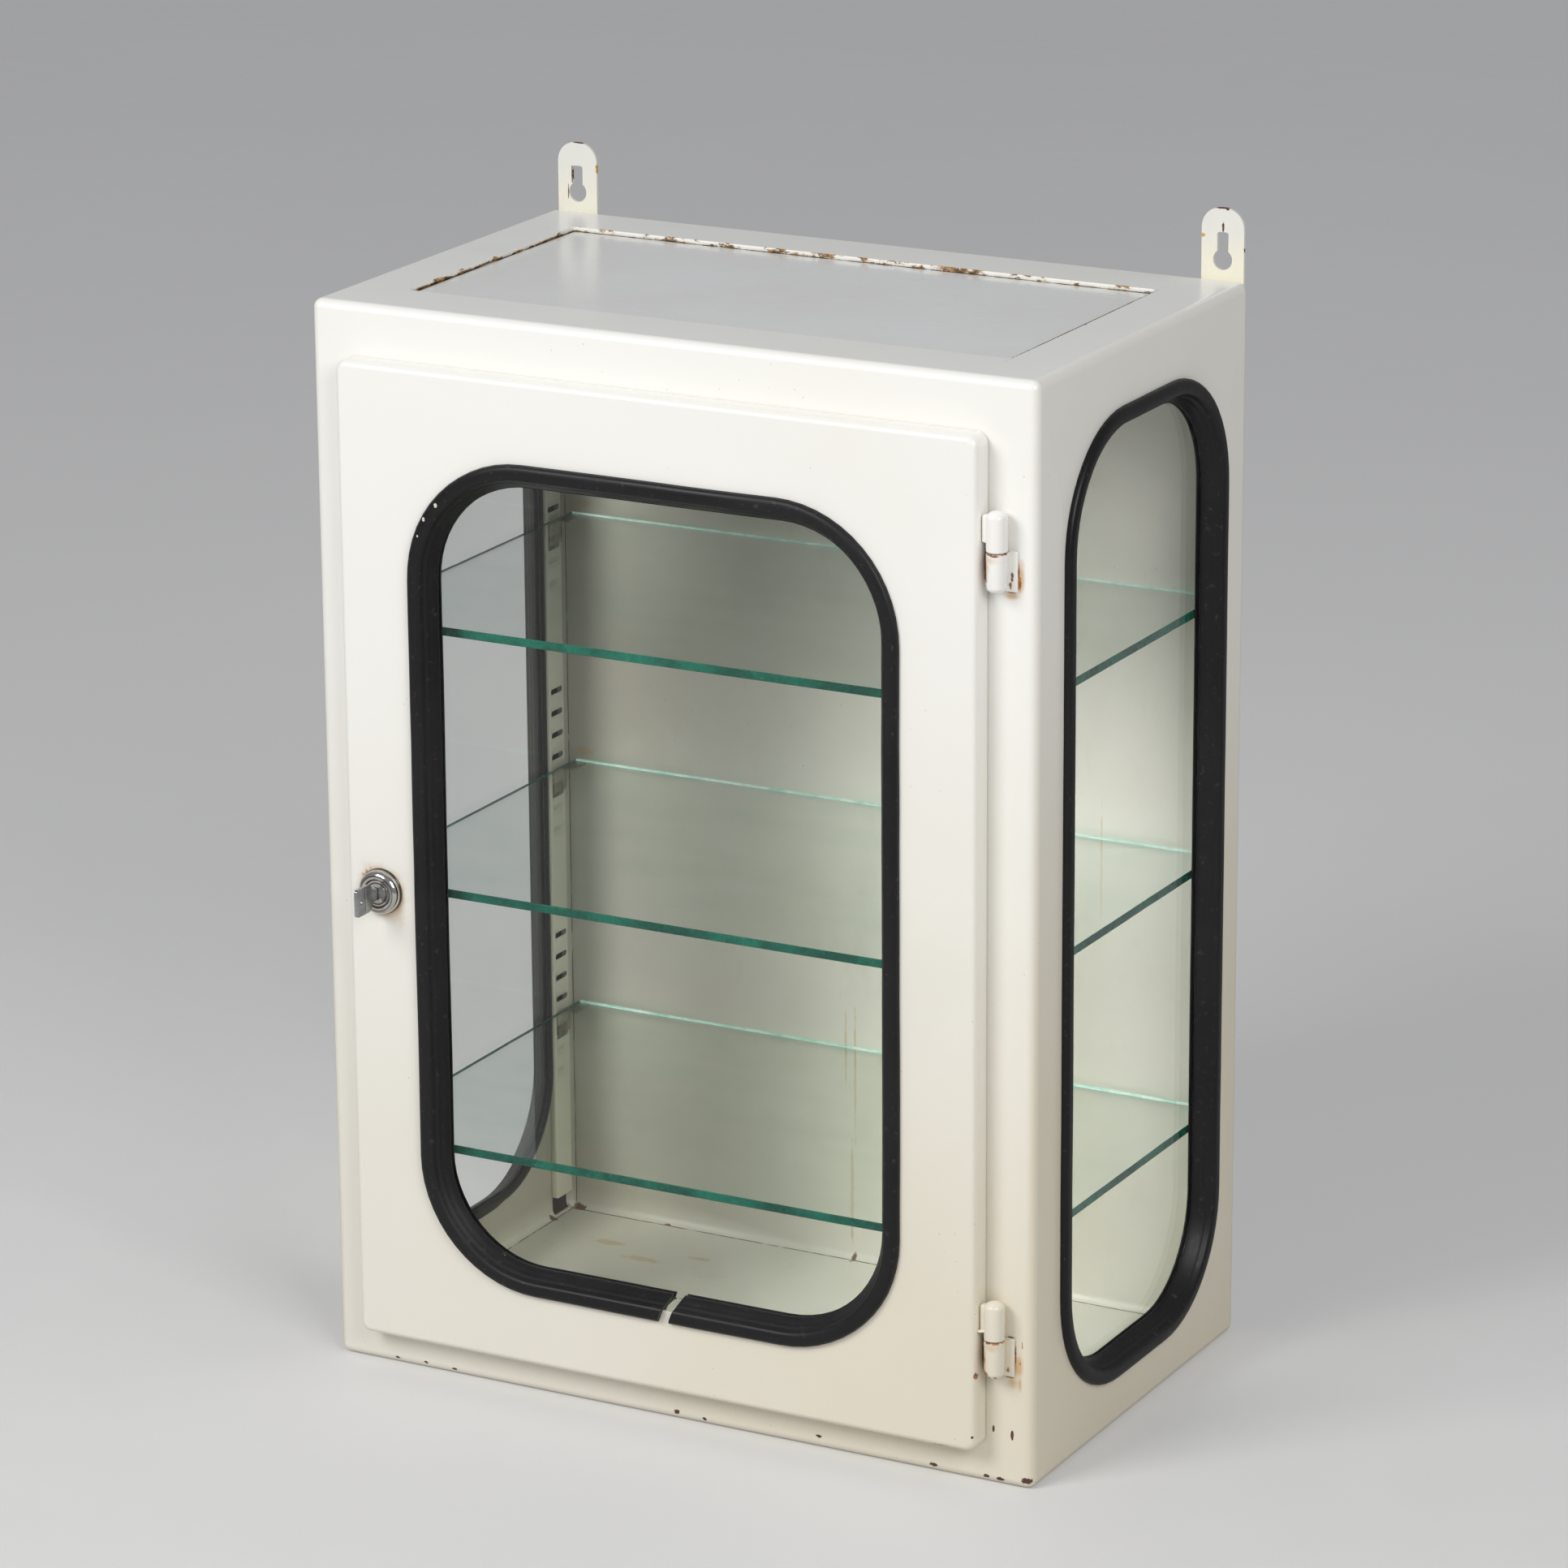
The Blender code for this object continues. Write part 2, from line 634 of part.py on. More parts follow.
def make_door(door_axis):
    door = door_block("door_panel", 0.0, 0.0)
    cut(door, finish_tool(door_block("door_hollow", SHEET, SHEET)))
    inside = SHEET + DOOR_RETURN
    mouth = rectangle(DOOR_LEFT + inside, DOOR_RIGHT - inside, DOOR_BOTTOM + inside,
                      DOOR_TOP - inside, DOOR_MOUTH_CORNER, 3)
    middle = (DOOR_FACE + DOOR_REAR) / 2
    cut(door, finish_tool(plate("door_mouth", [mouth], middle, DOOR_REAR + BEYOND, ACROSS_Y)))
    window = door_window_outline(GASKET_SHEET_GRIP)
    cut(door, finish_tool(plate("door_window_hole", [window], DOOR_FACE - BEYOND, middle, ACROSS_Y)))
    hole = circle(LOCK_X, LOCK_Z, LOCK_BARREL_RADIUS + FIT, 32)
    cut(door, finish_tool(plate("lock_hole", [hole], DOOR_FACE - BEYOND, middle, ACROSS_Y)))
    finish_piece(door, ENAMEL)
    smooth_round_faces(door)
    carry(door_axis, door)


# Hanging tabs

def make_tabs():
    half = TAB_WIDTH / 2
    outline = filleted([(-half, -TAB_LAP, 0), (half, -TAB_LAP, 0),
                        (half, TAB_RISE, TAB_CORNER), (-half, TAB_RISE, TAB_CORNER)], 6)
    slot_half = KEYHOLE_SLOT_WIDTH / 2
    slot_centre = KEYHOLE_SLOT_TOP - slot_half
    foot = math.asin(slot_half / KEYHOLE_RADIUS)
    sweep = 2 * (math.pi - foot)
    keyhole = []
    for i in range(KEYHOLE_STEPS + 1):
        angle = math.pi / 2 + foot + sweep * i / KEYHOLE_STEPS
        keyhole.append((KEYHOLE_RADIUS * math.cos(angle),
                        KEYHOLE_ABOVE_CASE + KEYHOLE_RADIUS * math.sin(angle)))
    for i in range(KEYHOLE_SLOT_STEPS + 1):
        angle = math.pi * i / KEYHOLE_SLOT_STEPS
        keyhole.append((slot_half * math.cos(angle), slot_centre + slot_half * math.sin(angle)))
    face = BACK + FIT
    for side, sign in (("left", -1), ("right", 1)):
        tab = plate("hanging_tab_" + side, [outline, keyhole], face, face + TAB_THICKNESS, ACROSS_Y)
        tab.location = (sign * (HALF_WIDTH - TAB_CENTRE_FROM_SIDE), 0.0, TOP)
        finish_piece(tab, TAB_PAINT)


# Hinges

def door_half_profile(bore):
    dome_foot = HINGE_HALF_LENGTH - HINGE_DOME
    depth = PIN_IN_DOOR_HALF + FIT
    points = [(r, dome_foot + h) for r, h in quarter_round(HINGE_RADIUS, HINGE_DOME)]
    low = HINGE_JOINT_GAP / 2
    return points + [(HINGE_RADIUS, low), (bore, low), (bore, depth), (0.0, depth)]


def frame_half_profile(bore):
    dome_foot = HINGE_HALF_LENGTH - HINGE_DOME
    depth = PIN_IN_FRAME_HALF + FIT
    high = -HINGE_JOINT_GAP / 2
    dome = [(r, -dome_foot - h) for r, h in reversed(quarter_round(HINGE_RADIUS, HINGE_DOME))]
    return [(0.0, -depth), (bore, -depth), (bore, high), (HINGE_RADIUS, high)] + dome


def make_hinge(name, joint_height, door_axis):
    axis = (HINGE_X, HINGE_Y, joint_height)
    bore = PIN_RADIUS + TURNING_FIT
    lug_middle = HINGE_TAB_ABOVE_JOINT + HINGE_TAB_HEIGHT / 2

    door_half = turned(name + "_hinge_door_half", door_half_profile(bore))
    lug_low = (-HINGE_AXIS_FROM_DOOR + FIT, -HINGE_TAB_THICKNESS / 2, lug_middle - HINGE_TAB_HEIGHT / 2)
    lug_high = (-(bore + HINGE_RADIUS) / 2, HINGE_TAB_THICKNESS / 2, lug_middle + HINGE_TAB_HEIGHT / 2)
    lug = finish_tool(block(name + "_hinge_door_lug", lug_low, lug_high))
    join(door_half, lug)

    frame_half = turned(name + "_hinge_frame_half", frame_half_profile(bore))
    leaf_low = (-HINGE_LEAF_INWARD, HINGE_AXIS_PROUD - FIT - HINGE_LEAF_THICKNESS, -HINGE_HALF_LENGTH)
    leaf_high = (HINGE_LEAF_OUTWARD, HINGE_AXIS_PROUD - FIT, -HINGE_JOINT_GAP / 2)
    leaf = finish_tool(block(name + "_hinge_leaf", leaf_low, leaf_high))
    join(frame_half, leaf)

    crown_foot = PIN_IN_DOOR_HALF - PIN_CROWN
    pin_profile = [(r, crown_foot + h) for r, h in quarter_round(PIN_RADIUS, PIN_CROWN, 3)]
    pin_profile += [(PIN_RADIUS, -PIN_IN_FRAME_HALF), (0.0, -PIN_IN_FRAME_HALF)]
    pin = turned(name + "_hinge_pin", pin_profile)

    for obj in (door_half, lug, frame_half, leaf, pin):
        obj.location = axis
    for obj in (door_half, frame_half, pin):
        finish_piece(obj, ENAMEL if obj is not pin else STEEL)
    carry(door_axis, lug)
    carry(door_axis, door_half)


# Lock and key

OUTWARDS = (math.pi / 2, 0.0, 0.0)


def make_lock(door_axis, lock_axis, key_guide):
    make_lock_housing(door_axis)
    make_plug(lock_axis)
    make_cam(lock_axis)
    make_key(key_guide)


def make_lock_housing(door_axis):
    """The rosette and its barrel are one turned piece; heights count from the door's face."""
    bore = PLUG_RADIUS + TURNING_FIT
    top = ROSETTE_PROUD
    curve = quarter_round(ROSETTE_RADIUS - ROSETTE_FACE_RADIUS, top - ROSETTE_RIM, 6)
    shoulder = [(ROSETTE_FACE_RADIUS + r, ROSETTE_RIM + h) for r, h in curve]
    profile = [(bore, top)] + shoulder
    profile += [(ROSETTE_RADIUS, FIT), (LOCK_BARREL_RADIUS, FIT),
                (LOCK_BARREL_RADIUS, -LOCK_BARREL_LENGTH), (bore, -LOCK_BARREL_LENGTH)]
    housing = turned("lock_housing", profile, 32, closed=True)
    housing.location = (LOCK_X, DOOR_FACE, LOCK_Z)
    housing.rotation_euler = OUTWARDS
    finish_piece(housing, CHROME)

    across_corners = LOCK_NUT_FLATS / math.sqrt(3)
    hexagon = circle(LOCK_X, LOCK_Z, across_corners, 6)
    thread = circle(LOCK_X, LOCK_Z, LOCK_BARREL_RADIUS + FIT, 32)
    face = DOOR_FACE + SHEET + FIT
    nut = plate("lock_nut", [hexagon, thread], face, face + LOCK_NUT_THICKNESS, ACROSS_Y)
    finish_piece(nut, STEEL)
    carry(door_axis, housing)
    carry(door_axis, nut)


def make_plug(lock_axis):
    """The turning cylinder: a round plug with a keyway, and a square shank for the cam."""
    front = -PLUG_FACE
    rear = -PLUG_REAR
    plug = turned("lock_cylinder", [(0.0, front), (PLUG_RADIUS, front), (PLUG_RADIUS, rear),
                                    (0.0, rear)], 32)
    plug.location = (LOCK_X, 0.0, LOCK_Z)
    plug.rotation_euler = OUTWARDS
    half = SHANK_SIDE / 2
    overlap = PLUG_BEHIND_BARREL
    shank = block("lock_shank", (LOCK_X - half, PLUG_REAR - overlap, LOCK_Z - half),
                  (LOCK_X + half, CAM_REAR - FIT, LOCK_Z + half))
    join(plug, finish_tool(shank))
    slot_half = KEY_THICKNESS / 2 + FIT
    slot_reach = KEY_BLADE_HEIGHT / 2 + FIT
    keyway = block("keyway", (LOCK_X - slot_half, PLUG_FACE - BEYOND, LOCK_Z - slot_reach),
                   (LOCK_X + slot_half, PLUG_FACE + KEY_BLADE_DEPTH + FIT, LOCK_Z + slot_reach))
    cut(plug, finish_tool(keyway))
    thread = plate("cam_screw_hole", [circle(LOCK_X, LOCK_Z, CAM_SCREW_RADIUS + FIT, 16)],
                   CAM_REAR - CAM_SCREW_LENGTH, CAM_REAR + BEYOND, ACROSS_Y)
    cut(plug, finish_tool(thread))
    finish_piece(plug, CHROME)
    carry(lock_axis, plug)


def make_cam(lock_axis):
    half = CAM_WIDTH / 2
    tip = CAM_TIP_WIDTH / 2
    outline = filleted([(half, CAM_TAIL, CAM_TAIL_CORNER), (-half, CAM_TAIL, CAM_TAIL_CORNER),
                        (-tip, -CAM_REACH, CAM_TIP_CORNER), (tip, -CAM_REACH, CAM_TIP_CORNER)], 4)
    outline = [(LOCK_X + u, LOCK_Z + v) for u, v in outline]
    hole_half = SHANK_SIDE / 2 + FIT
    hole = rectangle(LOCK_X - hole_half, LOCK_X + hole_half, LOCK_Z - hole_half, LOCK_Z + hole_half)
    cam = plate("lock_cam", [outline, hole], CAM_FRONT, CAM_REAR, ACROSS_Y)
    finish_piece(cam, STEEL)

    seat = -(CAM_REAR + FIT)
    head = seat - CAM_SCREW_HEAD_HEIGHT
    tip = seat + CAM_SCREW_LENGTH
    profile = [(0.0, tip), (CAM_SCREW_RADIUS, tip), (CAM_SCREW_RADIUS, seat),
               (CAM_SCREW_HEAD_RADIUS, seat), (CAM_SCREW_HEAD_RADIUS, head), (0.0, head)]
    screw = turned("cam_screw", profile, 16)
    screw.location = (LOCK_X, 0.0, LOCK_Z)
    screw.rotation_euler = OUTWARDS
    finish_piece(screw, STEEL)
    carry(lock_axis, cam)
    carry(lock_axis, screw)


def make_key(key_guide):
    """The flat key, outlined in Y and Z, with its bow in front and its blade in the keyway."""
    blade = KEY_BLADE_HEIGHT / 2
    bow = KEY_BOW_HEIGHT / 2
    tip = PLUG_FACE + KEY_BLADE_DEPTH
    neck = PLUG_FACE - KEY_NECK_LENGTH
    end = neck - KEY_BOW_LENGTH
    nose = KEY_TIP_HEIGHT / 2
    corners = [(tip, -nose, 0), (tip, nose, 0), (tip - blade, blade, 0),
               (neck, blade, KEY_BOW_CORNER), (neck - KEY_NECK_LENGTH / 2, bow, KEY_BOW_CORNER),
               (end, bow, KEY_BOW_CORNER), (end, -bow, KEY_BOW_CORNER),
               (neck - KEY_NECK_LENGTH / 2, -bow, KEY_BOW_CORNER), (neck, -blade, KEY_BOW_CORNER),
               (tip - blade, -blade, 0)]
    outline = [(u, LOCK_Z + v) for u, v in filleted(corners, 3)]
    hole = circle(end + KEY_HOLE_FROM_END, LOCK_Z, KEY_HOLE_RADIUS, 16)
    half = KEY_THICKNESS / 2
    key = plate("key", [outline, hole], LOCK_X - half, LOCK_X + half, ACROSS_X)
    finish_piece(key, CHROME)
    carry(key_guide, key)


# Shelves, pilasters and clips

def make_shelves():
    half = HALF_WIDTH - SHEET / 2 + GASKET_REAR - SHELF_SIDE_CLEARANCE
    near = FRONT + SHELF_END_CLEARANCE
    far = BACK - SHELF_END_CLEARANCE
    outline = rectangle(-half, half, near, far, SHELF_CORNER, 3)
    for name, top in zip(SHELF_NAMES, SHELF_TOPS):
        guide = guide_empty(name + "_shelf_lift", (0.0, 0.0, top))
        shelf = plate(name + "_shelf", [outline], top - SHELF_THICKNESS, top)
        finish_piece(shelf, SHELF_GLASS)
        carry(guide, shelf)


def clip_slot_height(shelf_top):
    return shelf_top - SHELF_THICKNESS - CLIP_SLOT_BELOW_SHELF


def pilaster_places():
    """The middle of the front and back pilasters, which stand clear of the case's bends."""
    half = PILASTER_WIDTH / 2
    front = SEAM_FRONT + PILASTER_FROM_FRONT_BEND + half
    back = SEAM_BACK - half
    return (("front", front), ("back", back))


def make_pilasters():
    """Upright channels, open to the side wall, with groups of slots round each shelf."""
    half = PILASTER_WIDTH / 2
    low = PILASTER_END_GAP
    high = TOP - PILASTER_END_GAP
    for side, sign in (("left", -1), ("right", 1)):
        face = sign * PILASTER_FACE
        wall = sign * (PILASTER_FACE + PILASTER_DEPTH)
        skin = sign * (PILASTER_FACE + PILASTER_SHEET)
        beyond = sign * (HALF_WIDTH + BEYOND)
        for end, place in pilaster_places():
            name = f"pilaster_{end}_{side}"
            strip = block(name, (min(face, wall), place - half, low), (max(face, wall), place + half, high))
            inner = half - PILASTER_SHEET
            channel = block(name + "_channel", (min(skin, beyond), place - inner, low - BEYOND),
                            (max(skin, beyond), place + inner, high + BEYOND))
            cut(strip, finish_tool(channel))
            cut(strip, finish_tool(slot_tool(name, place, sign)))
            finish_piece(strip, ENAMEL)


def slot_tool(name, place, sign):
    """One tool for all the slots of a pilaster, as separate small blocks."""
    bm = bmesh.new()
    middle = sign * (PILASTER_FACE + PILASTER_SHEET / 2)
    through = PILASTER_SHEET * 3
    size = Matrix.Diagonal((through, SLOT_LENGTH, SLOT_HEIGHT, 1.0))
    for shelf_top in SHELF_TOPS:
        for i in range(-SLOTS_BELOW_CLIP, SLOTS_ABOVE_CLIP + 1):
            height = clip_slot_height(shelf_top) + i * SLOT_PITCH
            at = Matrix.Translation((middle, place, height))
            bmesh.ops.create_cube(bm, size=1.0, matrix=at @ size)
    return object_from_bmesh(name + "_slots", bm)


def clip_outline(shelf_top, sign):
    """The clip's section in X and Z: tongue under the shelf, leaf, and hook in the slot."""
    top = shelf_top - SHELF_THICKNESS - FIT
    slot = clip_slot_height(shelf_top)
    hook_top = slot + CLIP_SHEET / 2
    hook_low = slot - CLIP_SHEET / 2
    behind = PILASTER_SHEET + FIT
    section = [(FIT, top), (CLIP_TONGUE, top), (CLIP_TONGUE, top - CLIP_SHEET),
               (FIT + CLIP_SHEET, top - CLIP_SHEET), (FIT + CLIP_SHEET, top - CLIP_LEAF),
               (FIT, top - CLIP_LEAF), (FIT, hook_low), (-behind, hook_low),
               (-behind, hook_top - CLIP_HOOK_DROP), (-behind - CLIP_SHEET, hook_top - CLIP_HOOK_DROP),
               (-behind - CLIP_SHEET, hook_top), (FIT, hook_top)]
    return [(sign * (PILASTER_FACE - inward), height) for inward, height in section]


def make_clips():
    half = SLOT_LENGTH / 2 - FIT
    for shelf, top in zip(SHELF_NAMES, SHELF_TOPS):
        for side, sign in (("left", -1), ("right", 1)):
            outline = clip_outline(top, sign)
            for end, place in pilaster_places():
                clip = plate(f"{shelf}_shelf_clip_{end}_{side}", [outline], place - half,
                             place + half, ACROSS_Y)
                finish_piece(clip, ENAMEL)


# Assembly: the empties mark the joint axes

def make_cabinet():
    door_axis = guide_empty("door_axis", (HINGE_X, HINGE_Y, DOOR_BOTTOM))
    lock_axis = guide_empty("lock_axis", (LOCK_X, DOOR_FACE, LOCK_Z), door_axis)
    key_guide = guide_empty("key_guide", (LOCK_X, PLUG_FACE, LOCK_Z), lock_axis)
    make_case()
    make_side_windows()
    make_tabs()
    make_door(door_axis)
    make_door_window(door_axis)
    make_hinge("upper", DOOR_TOP - HINGE_BELOW_DOOR_TOP, door_axis)
    make_hinge("lower", DOOR_BOTTOM + HINGE_ABOVE_DOOR_BOTTOM, door_axis)
    make_lock(door_axis, lock_axis, key_guide)
    make_pilasters()
    make_clips()
    make_shelves()


make_cabinet()
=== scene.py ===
# %% [markdown]
# # A glazed medicine cabinet
#
# This notebook dresses a wall cabinet whose solids were modelled and packed before: an enamelled steel
# case, a glazed door on lift-off hinges, glass in rubber gaskets, and three glass shelves on clips.
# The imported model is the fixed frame. Everything below is in metres, with the door towards -Y, the
# wall towards +Y and Z up, so each new piece is made where the frame says that it belongs.

import math

import bmesh
import bpy
from mathutils import Matrix, Vector, noise


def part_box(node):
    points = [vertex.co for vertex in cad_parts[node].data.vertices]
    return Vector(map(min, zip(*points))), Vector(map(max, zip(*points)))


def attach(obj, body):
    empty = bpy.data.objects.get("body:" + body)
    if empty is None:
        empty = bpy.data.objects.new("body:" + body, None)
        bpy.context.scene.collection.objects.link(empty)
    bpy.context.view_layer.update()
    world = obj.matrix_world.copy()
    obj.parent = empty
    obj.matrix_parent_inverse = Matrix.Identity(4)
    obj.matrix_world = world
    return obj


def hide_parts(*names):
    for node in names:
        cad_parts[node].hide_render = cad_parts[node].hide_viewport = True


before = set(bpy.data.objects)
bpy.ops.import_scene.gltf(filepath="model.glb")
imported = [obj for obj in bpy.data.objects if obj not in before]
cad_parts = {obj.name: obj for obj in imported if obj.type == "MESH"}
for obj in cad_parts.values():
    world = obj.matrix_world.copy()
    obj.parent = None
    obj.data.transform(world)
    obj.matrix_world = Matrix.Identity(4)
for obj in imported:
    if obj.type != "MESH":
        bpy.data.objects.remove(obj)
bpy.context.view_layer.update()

# %% [markdown]
# ## Reading the sizes
#
# The case is a box of 1 mm sheet. Its outside comes from the boxes of its panels, and only what the
# boxes can't say, such as the radius of a bend, is written down here as a size of its own.

# %% Outside of the case and the opening behind the door
SHEET = 0.001
CASE_EDGE_RADIUS = 0.006
CASE_EDGE_STEPS = 6
CASE_LOW = Vector((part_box("side_panel_left")[0].x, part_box("front_rail_bottom")[0].y,
                   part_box("floor_panel")[0].z))
CASE_HIGH = Vector((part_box("side_panel_right")[1].x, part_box("back_panel")[1].y,
                    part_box("top_surround")[1].z))
OPENING_LOW = Vector((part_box("front_stile_left")[1].x, CASE_LOW.y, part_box("front_rail_bottom")[1].z))
OPENING_HIGH = Vector((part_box("front_stile_right")[0].x, CASE_LOW.y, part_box("front_rail_top")[0].z))
print("case:", CASE_LOW, CASE_HIGH)

# %% [markdown]
# ## A few bench tools
#
# Almost every piece starts as a box, as an outline with rounded corners, or as a profile that is
# turned like on a lathe. An outline is drawn as one flat face in a drawing of its own, because
# bevelling its corner points rounds them to true arcs, and then it is laid into the work.

# %% Boxes, rounded outlines and turned profiles
ACROSS_Y = Matrix.Rotation(math.pi / 2, 4, "X")
ACROSS_X = Matrix.Rotation(math.pi / 2, 4, "Z") @ ACROSS_Y
TOUCHING = 0.000001
ON_PLANE = 0.00001
SAME_WAY = 0.999


def upright_at_x(x, y=0.0, z=0.0):
    return Matrix.Translation((x, y, z)) @ ACROSS_X


def upright_at_y(y, x=0.0, z=0.0):
    return Matrix.Translation((x, y, z)) @ ACROSS_Y


def edges_at(verts):
    return sorted({edge for vert in verts for edge in vert.link_edges}, key=lambda e: e.index)


def add_box(bm, low, high):
    size = Vector(high) - Vector(low)
    middle = (Vector(high) + Vector(low)) / 2
    place = Matrix.Translation(middle) @ Matrix.Diagonal((*size, 1.0))
    return edges_at(bmesh.ops.create_cube(bm, size=1.0, matrix=place)["verts"])


def round_edges(bm, edges, radius, segments=3):
    bmesh.ops.bevel(bm, geom=edges, offset=radius, segments=segments, profile=0.5, affect="EDGES",
                    clamp_overlap=True, material=-1)


def add_outline(bm, corners, place, steps=6, filled=False):
    """Draw (u, v, radius) corners as a closed outline, and return its edges or its face."""
    drawing = bmesh.new()
    points = [drawing.verts.new((u, v, 0.0)) for u, v, radius in corners]
    drawing.faces.new(points)
    for point, (u, v, radius) in zip(points, corners):
        if radius > 0:
            bmesh.ops.bevel(drawing, geom=[point], offset=radius, segments=steps, profile=0.5,
                            affect="VERTICES", clamp_overlap=False, material=-1)
    bmesh.ops.remove_doubles(drawing, verts=drawing.verts[:], dist=TOUCHING)
    if not filled:
        bmesh.ops.delete(drawing, geom=drawing.faces[:], context="FACES_ONLY")
    drawing.transform(place)
    sheet = bpy.data.meshes.new("drawing")
    drawing.to_mesh(sheet)
    drawing.free()
    already = set(bm.faces) | set(bm.edges)
    bm.from_mesh(sheet)
    bpy.data.meshes.remove(sheet)
    return [part for part in (bm.faces if filled else bm.edges) if part not in already]


def rectangle(u0, u1, v0, v1, radius=0.0):
    return [(u0, v0, radius), (u1, v0, radius), (u1, v1, radius), (u0, v1, radius)]


def turn(bm, profile, place, steps=48):
    """Spin (radius, height) points about the Z axis of a place."""
    points = [bm.verts.new(place @ Vector((radius, 0.0, height))) for radius, height in profile]
    line = [bm.edges.new(pair) for pair in zip(points, points[1:])]
    axis = place.to_3x3() @ Vector((0.0, 0.0, 1.0))
    bmesh.ops.spin(bm, geom=points + line, cent=place.translation, axis=axis, angle=2 * math.pi,
                   steps=steps, use_merge=True, use_duplicate=False)
    bmesh.ops.remove_doubles(bm, verts=bm.verts[:], dist=TOUCHING)


def fill_between(bm, edges):
    made = bmesh.ops.triangle_fill(bm, edges=edges, use_beauty=True)["geom"]
    return [part for part in made if isinstance(part, bmesh.types.BMFace)]


def verts_among(parts):
    return [part for part in parts if isinstance(part, bmesh.types.BMVert)]


def raise_faces(bm, faces, way):
    """Extrude faces along a way, and return the points that moved."""
    raised = verts_among(bmesh.ops.extrude_face_region(bm, geom=faces)["geom"])
    bmesh.ops.translate(bm, verts=raised, vec=way)
    return raised


def open_flat_side(bm, looks, hole_edges, near=None):
    """Swap the flat face that looks one way, the largest or the nearest, for the same face with holes."""
    bm.normal_update()
    towards = [face for face in bm.faces if face.normal.dot(Vector(looks)) > SAME_WAY]
    if near:
        flat = min(towards, key=lambda face: (face.calc_center_median() - near).length)
    else:
        flat = max(towards, key=lambda face: face.calc_area())
    rim = flat.edges[:]
    bmesh.ops.delete(bm, geom=[flat], context="FACES_ONLY")
    fill_between(bm, rim + hole_edges)


def point_outwards(bm):
    bmesh.ops.recalc_face_normals(bm, faces=bm.faces[:])
    if bm.calc_volume(signed=True) < 0:
        bmesh.ops.reverse_faces(bm, faces=bm.faces[:])


print("drawing planes ready")

# %% Turning a finished mesh into a piece of the cabinet
SOFT_ANGLE = math.radians(38)


def make_piece(name, bm, body, replaced=()):
    mesh = bpy.data.meshes.new(name)
    bm.to_mesh(mesh)
    bm.free()
    mesh.shade_smooth()
    mesh.set_sharp_from_angle(angle=SOFT_ANGLE)
    piece = bpy.data.objects.new(name, mesh)
    bpy.context.scene.collection.objects.link(piece)
    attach(piece, body)
    if replaced:
        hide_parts(*replaced)
    print(f"{name}: {len(mesh.polygons)} faces on {body}")
    return piece


def give_wall(piece, thickness, inner_material=0):
    wall = piece.modifiers.new("wall", "SOLIDIFY")
    wall.thickness = thickness
    wall.offset = -1
    wall.material_offset = inner_material


def keep_flats_flat(piece):
    weighting = piece.modifiers.new("flat shading of large faces", "WEIGHTED_NORMAL")
    weighting.mode = "FACE_AREA"
    weighting.weight = 100
    weighting.keep_sharp = True


print("pieces ride on their bodies and keep the frame's places")

# %% [markdown]
# ## The enamelled case
#
# The real case is folded from sheet, welded, ground smooth and enamelled, so no seam shows. The packed
# solids have hairline gaps between the panels, and one seamless shell stands for them here. A box
# with rounded edges is opened on four sides: for the door, for both side windows, and for the recess in
# the top, whose lip is turned down. The wall's thickness comes last, with a second finish inside.

# %% Openings in the case
SIDE_WINDOW_RADIUS = 0.080
DOOR_WINDOW_RADIUS = 0.083
GASKET_SHEET_GRIP = 0.0075
RECESS_CORNER = 0.004
RECESS_LIP_RADIUS = 0.0008
WINDOW_STEPS = 14

side_low, side_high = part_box("side_gasket_right")
door_ring_low, door_ring_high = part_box("door_gasket")
FRONT_RIM = 0.048
BACK_RIM = 0.046
RECESS_SIDE = 0.208
RECESS_FRONT = CASE_LOW.y + FRONT_RIM
RECESS_BACK = CASE_HIGH.y - BACK_RIM


def side_window(inset):
    return rectangle(side_low.y + inset, side_high.y - inset, side_low.z + inset, side_high.z - inset,
                     SIDE_WINDOW_RADIUS - inset)


def door_window(inset):
    return rectangle(door_ring_low.x + inset, door_ring_high.x - inset, door_ring_low.z + inset,
                     door_ring_high.z - inset, DOOR_WINDOW_RADIUS - inset)


def recess(outset):
    return rectangle(-RECESS_SIDE - outset, RECESS_SIDE + outset, RECESS_FRONT - outset,
                     RECESS_BACK + outset, RECESS_CORNER + outset)


print("side window in mm:", [round(1000 * part) for part in side_high - side_low])

# %% The case as one seamless shell
shell = bmesh.new()
round_edges(shell, add_box(shell, CASE_LOW, CASE_HIGH), CASE_EDGE_RADIUS, CASE_EDGE_STEPS)
for side in (-1, 1):
    wall_x = CASE_LOW.x if side < 0 else CASE_HIGH.x
    hole = add_outline(shell, side_window(GASKET_SHEET_GRIP), upright_at_x(wall_x), WINDOW_STEPS)
    open_flat_side(shell, (side, 0, 0), hole)
doorway = rectangle(OPENING_LOW.x, OPENING_HIGH.x, OPENING_LOW.z, OPENING_HIGH.z)
hole = add_outline(shell, doorway, upright_at_y(CASE_LOW.y))
open_flat_side(shell, (0, -1, 0), hole)
lip = [(RECESS_LIP_RADIUS * (1 - math.sin(a)), RECESS_LIP_RADIUS * (1 - math.cos(a)))
       for a in (math.radians(30 * i) for i in range(4))]
lip.append((0.0, CASE_HIGH.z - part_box("top_surround")[0].z))
rings = [add_outline(shell, recess(outset), Matrix.Translation((0, 0, CASE_HIGH.z - depth)))
         for outset, depth in lip]
open_flat_side(shell, (0, 0, 1), rings[0])
for upper, lower in zip(rings, rings[1:]):
    bmesh.ops.bridge_loops(shell, edges=upper + lower)
point_outwards(shell)
